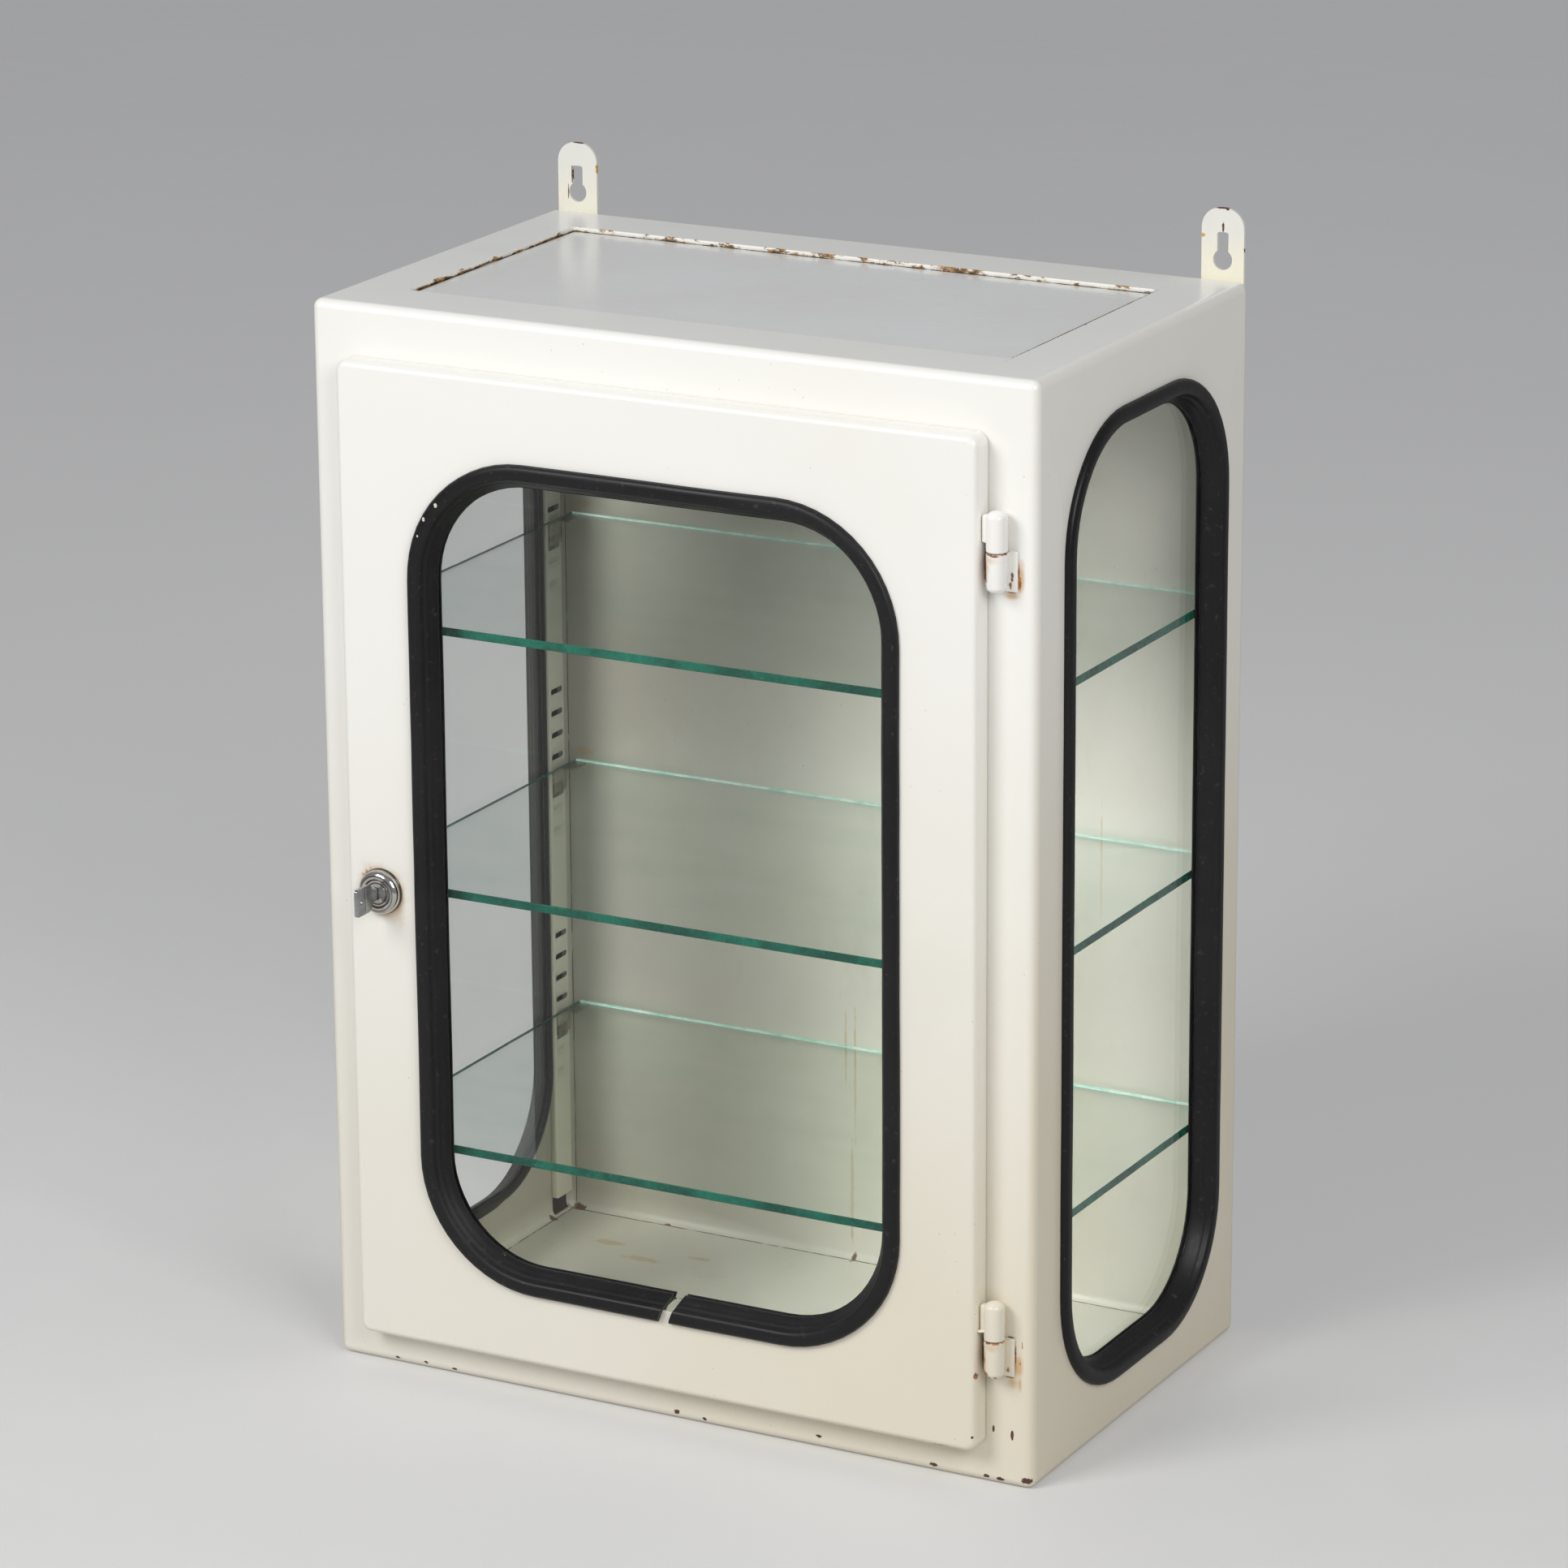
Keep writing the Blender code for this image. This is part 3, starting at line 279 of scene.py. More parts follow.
case_shell = make_piece("case_shell", shell, "case",
                        ("side_panel_left", "side_panel_right", "front_rail_top", "front_rail_bottom",
                         "front_stile_left", "front_stile_right", "back_panel", "floor_panel",
                         "top_surround"))
give_wall(case_shell, SHEET, inner_material=1)
keep_flats_flat(case_shell)

# %% [markdown]
# ## The door pan
#
# The door is a shallow pan: its front is folded back 15 mm on all sides and then inwards once more. It
# is a box whose corners and front edges are rounded. The front gets the window and the hole for the
# lock, and the rear gets the wide mouth that the last fold leaves.

# %% The door as a folded pan
DOOR_CORNER_RADIUS = 0.007
DOOR_EDGE_RADIUS = 0.004
DOOR_STEPS = 6
DOOR_RETURN = 0.013
LOCK_HOLE_RADIUS = 0.0113
door_low, door_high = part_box("door_panel")
lock_low, lock_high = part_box("lock_housing")
LOCK_X = (lock_low.x + lock_high.x) / 2
LOCK_Z = (lock_low.z + lock_high.z) / 2

pan = bmesh.new()
edges = add_box(pan, door_low, door_high)
from_front_to_back = [e for e in edges if abs(e.verts[0].co.y - e.verts[1].co.y) > ON_PLANE]
round_edges(pan, from_front_to_back, DOOR_CORNER_RADIUS, DOOR_STEPS)
front_edges = [e for e in pan.edges if all(abs(v.co.y - door_low.y) < ON_PLANE for v in e.verts)]
round_edges(pan, front_edges, DOOR_EDGE_RADIUS, DOOR_STEPS)
window = add_outline(pan, door_window(GASKET_SHEET_GRIP), upright_at_y(door_low.y), WINDOW_STEPS)
lock_hole = bmesh.ops.create_circle(pan, segments=32, radius=LOCK_HOLE_RADIUS,
                                    matrix=upright_at_y(door_low.y, LOCK_X, LOCK_Z))
open_flat_side(pan, (0, -1, 0), window + edges_at(lock_hole["verts"]))
mouth = rectangle(door_low.x + DOOR_RETURN, door_high.x - DOOR_RETURN, door_low.z + DOOR_RETURN,
                  door_high.z - DOOR_RETURN)
open_flat_side(pan, (0, 1, 0), add_outline(pan, mouth, upright_at_y(door_high.y)))
point_outwards(pan)
door_pan = make_piece("door_pan", pan, "door", ("door_panel",))
give_wall(door_pan, SHEET)
keep_flats_flat(door_pan)

# %% [markdown]
# ## Rubber gaskets
#
# The rubber grips the sheet in one groove and the glass in another that lies 9 mm further back. From
# outside it shows a broad flat roll with a shoulder, and from there a slope with two small steps
# runs back to the glass. One loop of edges is extruded from point to point of that section and closes
# on itself. Each point moves straight towards the middle of its own bend, so the bends stay
# round. The rubber is never quite straight: a slow noise pushes it about by a few tenths of a millimetre.

# %% The section, in millimetres
FRONT_OF_SECTION = ((0, 0.8), (0.05, 1.5), (0.35, 2.9), (1.0, 3.9), (2.0, 4.55), (3.3, 4.9), (5.0, 5.0),
                    (6.8, 4.98), (8.2, 4.75), (9.2, 4.25), (9.9, 3.4), (10.4, 2.3), (10.9, 1.2), (11.5, 0.5),
                    (12.2, -0.2), (12.7, -1.2), (13.2, -2.3), (13.9, -3.2), (14.6, -4.4), (15.2, -5.7),
                    (15.7, -6.8), (15.9, -7.5), (16.45, -7.75), (16.5, -8.2))
GLASS_GROOVE = ((12.2, -8.2), (12.2, -12.8), (16.0, -12.8))
BACK_OF_SECTION = ((16.1, -13.3), (15.6, -14.0), (14.8, -14.3), (11.6, -14.3), (10.6, -13.6), (10.0, -11.0),
                   (9.6, -8.0), (8.9, -5.6), (7.6, -4.6), (5.5, -4.5), (2.8, -4.3), (1.0, -3.6), (0.2, -2.4))
SHEET_GROOVE = ((0, -0.8), (7.8, -0.8), (7.8, 0.8))
SECTION = [(inset / 1000, height / 1000)
           for inset, height in FRONT_OF_SECTION + GLASS_GROOVE + BACK_OF_SECTION + SHEET_GROOVE]
GASKET_WIDTH = max(inset for inset, height in SECTION)
RUBBER_WAVE = 0.00035
SLOW_WAVES = 11.0
QUICK_WAVES = 31.0
LONG_RUN = 0.03
print("points in the gasket's section:", len(SECTION))

# %% Sweeping a section round a window


def sweep_ring(corners, place, outward):
    """Extrude a rounded rectangle along the gasket's section, back to where it began."""
    bm = bmesh.new()
    loop = add_outline(bm, corners, place, WINDOW_STEPS)
    for _ in range(2):
        long_runs = [e for e in loop if e.calc_length() > LONG_RUN]
        bmesh.ops.subdivide_edges(bm, edges=long_runs, cuts=5)
        loop = bm.edges[:]
    to_plane = place.inverted()
    (u_low, v_low, radius), (u_high, v_high, radius) = corners[0], corners[2]

    def inward(point):
        flat = to_plane @ point
        centre = Vector((min(max(flat.x, u_low + radius), u_high - radius),
                         min(max(flat.y, v_low + radius), v_high - radius), 0.0))
        towards = centre - Vector((flat.x, flat.y, 0.0))
        return place.to_3x3() @ towards.normalized()

    for vert in bm.verts:
        vert.co += outward * SECTION[0][1]
    reached = SECTION[0]
    for target in SECTION[1:] + SECTION[:1]:
        made = bmesh.ops.extrude_edge_only(bm, edges=loop)["geom"]
        moved = set(verts_among(made))
        loop = [g for g in made if isinstance(g, bmesh.types.BMEdge) and set(g.verts) <= moved]
        for vert in moved:
            vert.co += inward(vert.co) * (target[0] - reached[0]) + outward * (target[1] - reached[1])
        reached = target
    bmesh.ops.remove_doubles(bm, verts=bm.verts[:], dist=5 * TOUCHING)
    point_outwards(bm)
    for vert in bm.verts:
        wave = noise.noise(vert.co * SLOW_WAVES) + 0.5 * noise.noise(vert.co * QUICK_WAVES)
        vert.co += inward(vert.co) * wave * RUBBER_WAVE
    return bm


print("a ring is swept round the outline of its window")

# %% Gaskets of the side windows
for side, sign in (("left", -1), ("right", 1)):
    sheet_x = (CASE_LOW.x if sign < 0 else CASE_HIGH.x) - sign * SHEET / 2
    ring = sweep_ring(side_window(0.0), upright_at_x(sheet_x), Vector((sign, 0, 0)))
    make_piece("side_gasket_rubber_" + side, ring, "case", ("side_gasket_" + side,))

# %% [markdown]
# The door's gasket was cut a little short, and its ends stand apart at the middle of the bottom run.
# Two slanted planes cut the ring there, the faces between them go, and the open ends are closed.

# %% The door's gasket and its gap
GAP_MIDDLE = 0.0078
GAP_WIDTH = 0.0075
GAP_SLANT = math.radians(20)

door_sheet_y = door_low.y + SHEET / 2
ring = sweep_ring(door_window(0.0), upright_at_y(door_sheet_y), Vector((0, -1, 0)))
ring_middle = (door_ring_low + door_ring_high) / 2
cut_normal = Vector((math.cos(GAP_SLANT), 0.0, -math.sin(GAP_SLANT)))
cut_middle = Vector((ring_middle.x + GAP_MIDDLE, door_sheet_y, door_ring_low.z + GASKET_WIDTH / 2))
for way in (-1, 1):
    lower = [f for f in ring.faces if f.calc_center_median().z < ring_middle.z]
    bottom = lower + list({e for f in lower for e in f.edges}) + list({v for f in lower for v in f.verts})
    bmesh.ops.bisect_plane(ring, geom=bottom, dist=TOUCHING, plane_no=cut_normal,
                           plane_co=cut_middle + cut_normal * way * GAP_WIDTH / 2)
between = [f for f in ring.faces if f.calc_center_median().z < ring_middle.z
           and abs((f.calc_center_median() - cut_middle).dot(cut_normal)) < GAP_WIDTH / 2]
bmesh.ops.delete(ring, geom=between, context="FACES")
bmesh.ops.holes_fill(ring, edges=[e for e in ring.edges if e.is_boundary], sides=0)
make_piece("door_gasket_rubber", ring, "door", ("door_gasket",))

# %% [markdown]
# ## Hinges
#
# Each lift-off hinge is two turned barrels on one pin. The upper one is welded to the door by a lug, and
# the lower one to the frame by a leaf. Thick enamel has softened every edge, so the barrels are
# spun with wide domes at their far ends, and lug and leaf are small boxes with bevelled edges.

# %% The outline of a barrel
DOME_RISE = 0.0045
DOME_STEPS = 8
MOUTH_CHAMFER = 0.0006
PIN_BORE = 0.0036
LUG_ABOVE_JOINT = 0.005
LUG_BELOW_CROWN = 0.0028
LUG_HALF_THICKNESS = 0.0024
LUG_SPREAD = 0.80
LUG_EDGE_RADIUS = 0.0016
LUG_STEPS = 4
WELD_BEAD = (0.0034, 0.0018, 0.0011)
BEAD_FROM_LUG_FOOT = Vector((0.0022, -0.0032, 0.0004))
BEAD_TILT = -0.22
LEAF_THICKNESS = 0.002
LEAF_INWARD = 0.0025
LEAF_EDGE_RADIUS = 0.0009


def barrel_profile(radius, length):
    """(radius, distance from the joint) from the crown of the dome to the pin's bore."""
    foot = length - DOME_RISE
    quarter = [math.pi / 2 * i / DOME_STEPS for i in range(DOME_STEPS + 1)]
    dome = [(radius * math.sin(a), foot + DOME_RISE * math.cos(a)) for a in quarter]
    return dome + [(radius, MOUTH_CHAMFER), (radius - MOUTH_CHAMFER, 0.0), (PIN_BORE, 0.0)]


print("steps in a barrel's dome:", DOME_STEPS)

# %% Both hinges
for place_name in ("upper", "lower"):
    pin_low, pin_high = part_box(place_name + "_hinge_pin")
    axis = (pin_low + pin_high) / 2
    door_node = place_name + "_hinge_door_half"
    low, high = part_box(door_node)
    radius = high.x - axis.x
    barrel = bmesh.new()
    turn(barrel, barrel_profile(radius, high.z - low.z), Matrix.Translation((axis.x, axis.y, low.z)))
    lug_foot = low.z + LUG_ABOVE_JOINT
    spread = radius * LUG_SPREAD
    wedge = [(low.x, axis.y - LUG_HALF_THICKNESS, 0.0), (axis.x, axis.y - spread, 0.0),
             (axis.x, axis.y + spread, 0.0), (low.x, axis.y + LUG_HALF_THICKNESS, 0.0)]
    sole = add_outline(barrel, wedge, Matrix.Translation((0, 0, lug_foot)), filled=True)
    crown = raise_faces(barrel, sole, (0, 0, high.z - LUG_BELOW_CROWN - lug_foot))
    round_edges(barrel, edges_at(crown + sole[0].verts[:]), LUG_EDGE_RADIUS, LUG_STEPS)
    if place_name == "lower":
        bead = Matrix.Translation(Vector((low.x, axis.y, lug_foot)) + BEAD_FROM_LUG_FOOT)
        bead = bead @ Matrix.Rotation(BEAD_TILT, 4, "Y") @ Matrix.Diagonal((*WELD_BEAD, 1.0))
        bmesh.ops.create_uvsphere(barrel, u_segments=20, v_segments=12, radius=1.0, matrix=bead)
    bmesh.ops.recalc_face_normals(barrel, faces=barrel.faces[:])
    make_piece(place_name + "_hinge_door_barrel", barrel, "door", (door_node,))

    frame_node = place_name + "_hinge_frame_half"
    low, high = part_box(frame_node)
    barrel = bmesh.new()
    upside_down = Matrix.Translation((axis.x, axis.y, high.z)) @ Matrix.Rotation(math.pi, 4, "X")
    turn(barrel, barrel_profile(radius, high.z - low.z), upside_down)
    leaf = add_box(barrel, (axis.x - LEAF_INWARD, high.y - LEAF_THICKNESS, low.z), high)
    round_edges(barrel, leaf, LEAF_EDGE_RADIUS)
    make_piece(place_name + "_hinge_frame_barrel", barrel, "case", (frame_node,))

# %% [markdown]
# ## Lock and key
#
# The rosette is a domed chrome ring with a step inside it, and the cylinder's round face sits in
# that step with its keyway upright. Both are turned about an axis that looks out of the door. The
# key is a flat blank cut to an outline, with a hole in its bow and a pressed band beside the hole.

# %% The rosette and the cylinder
ROSETTE_RADIUS = (lock_high.x - lock_low.x) / 2
ROSETTE_PROUD = door_low.y - lock_low.y
HOUSING_RADIUS = 0.011
PLUG_RADIUS = 0.00875
PLUG_CLEARANCE = 0.0001
PLUG_REAR = -0.0135
PLUG_GROOVE = 0.0003
SEAT_HEIGHT = 0.0064
KEYWAY_HALF_WIDTH = 0.0013
KEYWAY_HALF_HEIGHT = 0.0041
KEYWAY_CORNER = 0.0004
KEYWAY_DEPTH = 0.0123
SHANK_HALF = 0.0035
SHANK_OVERLAP = 0.0005
FINE_EDGE = 0.0003
cylinder_low, cylinder_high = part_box("lock_cylinder")
key_low, key_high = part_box("key")
out_of_door = upright_at_y(door_low.y, LOCK_X, LOCK_Z)

rosette = bmesh.new()
bore = PLUG_RADIUS + PLUG_CLEARANCE
housing_rear = door_low.y - lock_high.y
dome = [(0.0100, ROSETTE_PROUD), (0.0109, ROSETTE_PROUD), (0.0120, 0.0067), (0.0131, 0.0059),
        (0.0139, 0.0048), (0.0144, 0.0034), (0.01465, 0.0020), (0.0147, 0.0016), (ROSETTE_RADIUS, 0.0013)]
profile = [(bore, SEAT_HEIGHT), (0.0092, SEAT_HEIGHT), (0.0095, 0.0069), *dome, (ROSETTE_RADIUS, FINE_EDGE),
           (HOUSING_RADIUS, FINE_EDGE), (HOUSING_RADIUS, housing_rear), (bore, housing_rear),
           (bore, SEAT_HEIGHT)]
turn(rosette, profile, out_of_door, 72)
point_outwards(rosette)
make_piece("lock_rosette", rosette, "door", ("lock_housing",))

plug = bmesh.new()
face = door_low.y - cylinder_low.y
sunk = face - PLUG_GROOVE
profile = [(0.0052, face), (0.0064, face), (0.0066, sunk), (0.0071, sunk), (0.0073, face), (0.0084, face),
           (PLUG_RADIUS, sunk), (PLUG_RADIUS, PLUG_REAR), (0.0, PLUG_REAR)]
turn(plug, profile, out_of_door, 64)
mouth = rectangle(LOCK_X - KEYWAY_HALF_WIDTH, LOCK_X + KEYWAY_HALF_WIDTH, LOCK_Z - KEYWAY_HALF_HEIGHT,
                  LOCK_Z + KEYWAY_HALF_HEIGHT, KEYWAY_CORNER)
keyway = add_outline(plug, mouth, upright_at_y(cylinder_low.y), 2)
fill_between(plug, [e for e in plug.edges if e.is_boundary] + keyway)
walls = bmesh.ops.extrude_edge_only(plug, edges=keyway)["geom"]
bmesh.ops.translate(plug, verts=verts_among(walls), vec=(0, KEYWAY_DEPTH, 0))
bmesh.ops.holes_fill(plug, edges=[e for e in plug.edges if e.is_boundary], sides=0)
point_outwards(plug)
shank = add_box(plug, (LOCK_X - SHANK_HALF, door_low.y - PLUG_REAR - SHANK_OVERLAP, LOCK_Z - SHANK_HALF),
                (LOCK_X + SHANK_HALF, cylinder_high.y, LOCK_Z + SHANK_HALF))
round_edges(plug, shank, FINE_EDGE, 2)
make_piece("lock_plug", plug, "lock", ("lock_cylinder",))

# %% The key
BLADE_HALF_HEIGHT = 0.0038
NECK_LENGTH = 0.006
BOW_CORNER = 0.002
KEY_HOLE_RADIUS = 0.0018
KEY_HOLE_FROM_END = 0.0055
TIP_HALF_HEIGHT = 0.0012
TIP_LENGTH = 0.0027
NECK_CORNER = 0.0012
BAND_PROUD = 0.00035
BAND_FROM_END = (0.0095, 0.0135)
BAND_INSET = 0.0022
bow_half = (key_high.z - key_low.z) / 2
neck_y = cylinder_low.y - NECK_LENGTH
upper_half = [(key_high.y, TIP_HALF_HEIGHT, 0.0004), (key_high.y - TIP_LENGTH, BLADE_HALF_HEIGHT, 0.0006),
              (neck_y, BLADE_HALF_HEIGHT, NECK_CORNER), (neck_y - NECK_LENGTH / 2, bow_half, BOW_CORNER),
              (key_low.y, bow_half, BOW_CORNER)]
blank = [(y, LOCK_Z + rise, radius) for y, rise, radius in upper_half]
blank += [(y, LOCK_Z - rise, radius) for y, rise, radius in reversed(upper_half)]
key = bmesh.new()
outline = add_outline(key, blank, upright_at_x(key_low.x), 5)
hole = bmesh.ops.create_circle(key, segments=24, radius=KEY_HOLE_RADIUS,
                               matrix=upright_at_x(key_low.x, key_low.y + KEY_HOLE_FROM_END, LOCK_Z))
flat = fill_between(key, outline + edges_at(hole["verts"]))
raise_faces(key, flat, (key_high.x - key_low.x, 0, 0))
point_outwards(key)
band_half = bow_half - BAND_INSET
band = add_box(key, (key_low.x - BAND_PROUD, key_low.y + BAND_FROM_END[0], LOCK_Z - band_half),
               (key_high.x + BAND_PROUD, key_low.y + BAND_FROM_END[1], LOCK_Z + band_half))
round_edges(key, band, FINE_EDGE, 2)
key_blank = make_piece("key_blank", key, "key", ("key",))


def soften_edges(piece, width, segments=2, weld=False):
    if weld:
        piece.modifiers.new("join loose triangles", "WELD").merge_threshold = 5 * TOUCHING
    worn = piece.modifiers.new("worn edges", "BEVEL")
    worn.width = width
    worn.segments = segments
    worn.limit_method = "ANGLE"
    worn.angle_limit = math.radians(35)
    keep_flats_flat(piece)


soften_edges(key_blank, FINE_EDGE)

# %% [markdown]
# ## Hanging tabs
#
# Two strips of sheet stand up behind the case, rounded at the top, each with a keyhole. The keyhole's
# outline is one wide arc and a small arc at each corner of the slot: a point is spun for each of them,
# and straight edges join the arcs.

# %% Tabs with keyholes
KEYHOLE_RADIUS = 0.0065
KEYHOLE_ABOVE_CASE = 0.012
SLOT_HALF_WIDTH = 0.0038
SLOT_TOP_ABOVE_CASE = 0.0295
SLOT_CORNER = 0.0016
TAB_CORNER = 0.013
TAB_FOOT_CORNER = 0.0015
TAB_EDGE = 0.0004

for side, sign in (("left", -1), ("right", 1)):
    low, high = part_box("hanging_tab_" + side)
    middle_x = (low.x + high.x) / 2
    tab = bmesh.new()
    add_outline(tab, [(low.x, low.z, TAB_FOOT_CORNER), (high.x, low.z, TAB_FOOT_CORNER),
                      (high.x, high.z, TAB_CORNER), (low.x, high.z, TAB_CORNER)], upright_at_y(low.y), 9)
    centre = Vector((middle_x, low.y, CASE_HIGH.z + KEYHOLE_ABOVE_CASE))
    slot_top = CASE_HIGH.z + SLOT_TOP_ABOVE_CASE
    rise = math.sqrt(KEYHOLE_RADIUS ** 2 - SLOT_HALF_WIDTH ** 2)
    wide_start = tab.verts.new(centre + Vector((-SLOT_HALF_WIDTH, 0, rise)))
    wide_turn = 2 * (math.pi - math.asin(SLOT_HALF_WIDTH / KEYHOLE_RADIUS))
    wide_end = bmesh.ops.spin(tab, geom=[wide_start], cent=centre, axis=(0, -1, 0), angle=wide_turn,
                              steps=24)["geom_last"][0]
    reached = wide_end
    for way in (1, -1):
        corner = Vector((middle_x + way * (SLOT_HALF_WIDTH - SLOT_CORNER), low.y, slot_top - SLOT_CORNER))
        arc_start = tab.verts.new(corner + Vector((SLOT_CORNER, 0, 0) if way > 0 else (0, 0, SLOT_CORNER)))
        tab.edges.new((reached, arc_start))
        reached = bmesh.ops.spin(tab, geom=[arc_start], cent=corner, axis=(0, -1, 0), angle=math.pi / 2,
                                 steps=5)["geom_last"][0]
    tab.edges.new((reached, wide_start))
    raise_faces(tab, fill_between(tab, tab.edges[:]), (0, high.y - low.y, 0))
    point_outwards(tab)
    piece = make_piece("wall_tab_" + side, tab, "case", ("hanging_tab_" + side,))
    soften_edges(piece, TAB_EDGE)

# %% [markdown]
# ## Slotted pilasters
#
# A channel of thin sheet stands at each end of both side walls. Its open side lies on the wall, and
# groups of slots in its face take the hooks of the shelf clips. Each channel starts as a box: two
# long edges are bent round, and the wall side and the ends are left off. Level cuts part the face into
# one panel for each slot, because a face is filled most safely round a single hole.

# %% Four pilasters
SLOT_LENGTH = 0.0150
SLOT_HEIGHT = 0.004
SLOT_PITCH = 0.0152
SLOT_END_RADIUS = 0.0018
HOOK_BELOW_SHELF = 0.007
BEND_RADIUS = 0.0014
FACING = 0.9
shelf_names = ("bottom_shelf", "middle_shelf", "top_shelf")
slot_heights = [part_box(shelf)[0].z - HOOK_BELOW_SHELF + i * SLOT_PITCH
                for shelf in shelf_names for i in range(-1, 5)]
for side, sign in (("left", -1), ("right", 1)):
    for end in ("front", "back"):
        name = f"pilaster_{end}_{side}"
        low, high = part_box(name)
        face_x = high.x if sign < 0 else low.x
        middle_y = (low.y + high.y) / 2
        strip = bmesh.new()
        bends = [e for e in add_box(strip, low, high)
                 if all(abs(v.co.x - face_x) < ON_PLANE for v in e.verts)
                 and abs(e.verts[0].co.z - e.verts[1].co.z) > ON_PLANE]
        round_edges(strip, bends, BEND_RADIUS, 4)
        strip.normal_update()
        unseen = [f for f in strip.faces if abs(f.normal.z) > FACING or f.normal.x * sign > FACING]
        bmesh.ops.delete(strip, geom=unseen, context="FACES")
        for height in sorted({at + way * SLOT_PITCH / 2 for at in slot_heights for way in (-1, 1)}):
            everything = strip.verts[:] + strip.edges[:] + strip.faces[:]
            bmesh.ops.bisect_plane(strip, geom=everything, dist=ON_PLANE, plane_co=(0, 0, height),
                                   plane_no=(0, 0, 1))
        for at in slot_heights:
            slot = rectangle(middle_y - SLOT_LENGTH / 2, middle_y + SLOT_LENGTH / 2, at - SLOT_HEIGHT / 2,
                             at + SLOT_HEIGHT / 2, SLOT_END_RADIUS)
            open_flat_side(strip, (-sign, 0, 0), add_outline(strip, slot, upright_at_x(face_x), 4),
                           near=Vector((face_x, middle_y, at)))
        bmesh.ops.recalc_face_normals(strip, faces=strip.faces[:])
        strip.normal_update()
        broad = max(strip.faces, key=lambda f: f.calc_area())
        if broad.normal.x * sign > 0:
            bmesh.ops.reverse_faces(strip, faces=strip.faces[:])
        channel = make_piece(name + "_channel", strip, "case", (name,))
        give_wall(channel, SHEET)
        keep_flats_flat(channel)

# %% [markdown]
# ## Glass shelves
#
# Each shelf is a sheet of float glass with ground edges. The faces are almost clear, but the ground
# edge gathers the green of the whole sheet, so its faces get a finish of their own. A shallow bevel
# breaks the corners, and the long edges are cut into short steps that a noise nibbles at.

# %% Three shelves
SHELF_CORNER = 0.003
ARRIS = 0.0005
ARRIS_FROM_ANGLE = 1.2
LONG_EDGE = 0.1
LONG_EDGE_CUTS = 70
NIBBLE = 0.00025
NIBBLE_REACH = 0.001
FINE_NIBBLES = 190.0
COARSE_NIBBLES = 37.0
BROAD_FACE = 0.95
BACK_EDGE = 0.6
SHELF_BODIES = {"bottom_shelf": "shelf_bottom", "middle_shelf": "shelf_middle", "top_shelf": "shelf_top"}


def edge_finish(normal):
    """0 for the broad faces, 2 for the back edge and 1 for the other edges."""
    if abs(normal.z) >= BROAD_FACE:
        return 0
    return 2 if normal.y > BACK_EDGE else 1


for shelf in shelf_names:
    low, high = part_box(shelf)
    glass = bmesh.new()
    sheet = add_outline(glass, rectangle(low.x, high.x, low.y, high.y, SHELF_CORNER),
                        Matrix.Translation((0, 0, low.z)), 5, filled=True)
    raise_faces(glass, sheet, (0, 0, high.z - low.z))
    point_outwards(glass)
    glass.normal_update()
    rims = [e for e in glass.edges if len(e.link_faces) == 2 and e.calc_face_angle() > ARRIS_FROM_ANGLE]
    round_edges(glass, rims, ARRIS, 1)
    long_edges = [e for e in glass.edges if e.calc_length() > LONG_EDGE]
    bmesh.ops.subdivide_edges(glass, edges=long_edges, cuts=LONG_EDGE_CUTS)
    middle = (low + high) / 2
    for vert in glass.verts:
        fine, coarse = noise.noise(vert.co * FINE_NIBBLES), noise.noise(vert.co * COARSE_NIBBLES)
        bite = (max(0.0, fine) + max(0.0, coarse)) * NIBBLE
        at_end = high.x - abs(vert.co.x) < NIBBLE_REACH
        at_front_or_back = min(vert.co.y - low.y, high.y - vert.co.y) < NIBBLE_REACH
        inwards = Vector((middle.x - vert.co.x if at_end else 0.0,
                          middle.y - vert.co.y if at_front_or_back else 0.0, 0.0))
        vert.co += inwards.normalized() * bite
    for face in glass.faces:
        face.material_index = edge_finish(face.normal)
    make_piece(shelf + "_glass", glass, SHELF_BODIES[shelf], (shelf,))

# %% [markdown]
# ## Small steel parts
#
# The clips, the nut, the cam, its screw and the hinge pins keep their imported solids, whose shapes are
# right. On all of them but the pins, a weld joins their loose triangles for the eye only, and a small
# bevel wears their edges.

# %% Worn edges on the imported solids
for name, node_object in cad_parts.items():
    if "_clip_" in name or name in ("lock_nut", "lock_cam", "cam_screw"):
        soften_edges(node_object, FINE_EDGE, weld=True)
print("softened the clips, the nut, the cam and its screw")

# %% [markdown]
# ## Words for the finishes
#
# Every finish below is a net of nodes on Object coordinates, which are metres here. The net reads
# better when its most common nodes have short names, so one small class makes them: noise, a soft
# step, a mix, a set of ragged spots, and a bump.

# %% A finish under construction


def shade(red, green, blue):
    """A colour in steps of 0 to 255, as the linear values that Blender's nodes take."""
    steps = [part / 255 for part in (red, green, blue)]
    return tuple(s / 12.92 if s <= 0.04045 else ((s + 0.055) / 1.055) ** 2.4 for s in steps) + (1.0,)


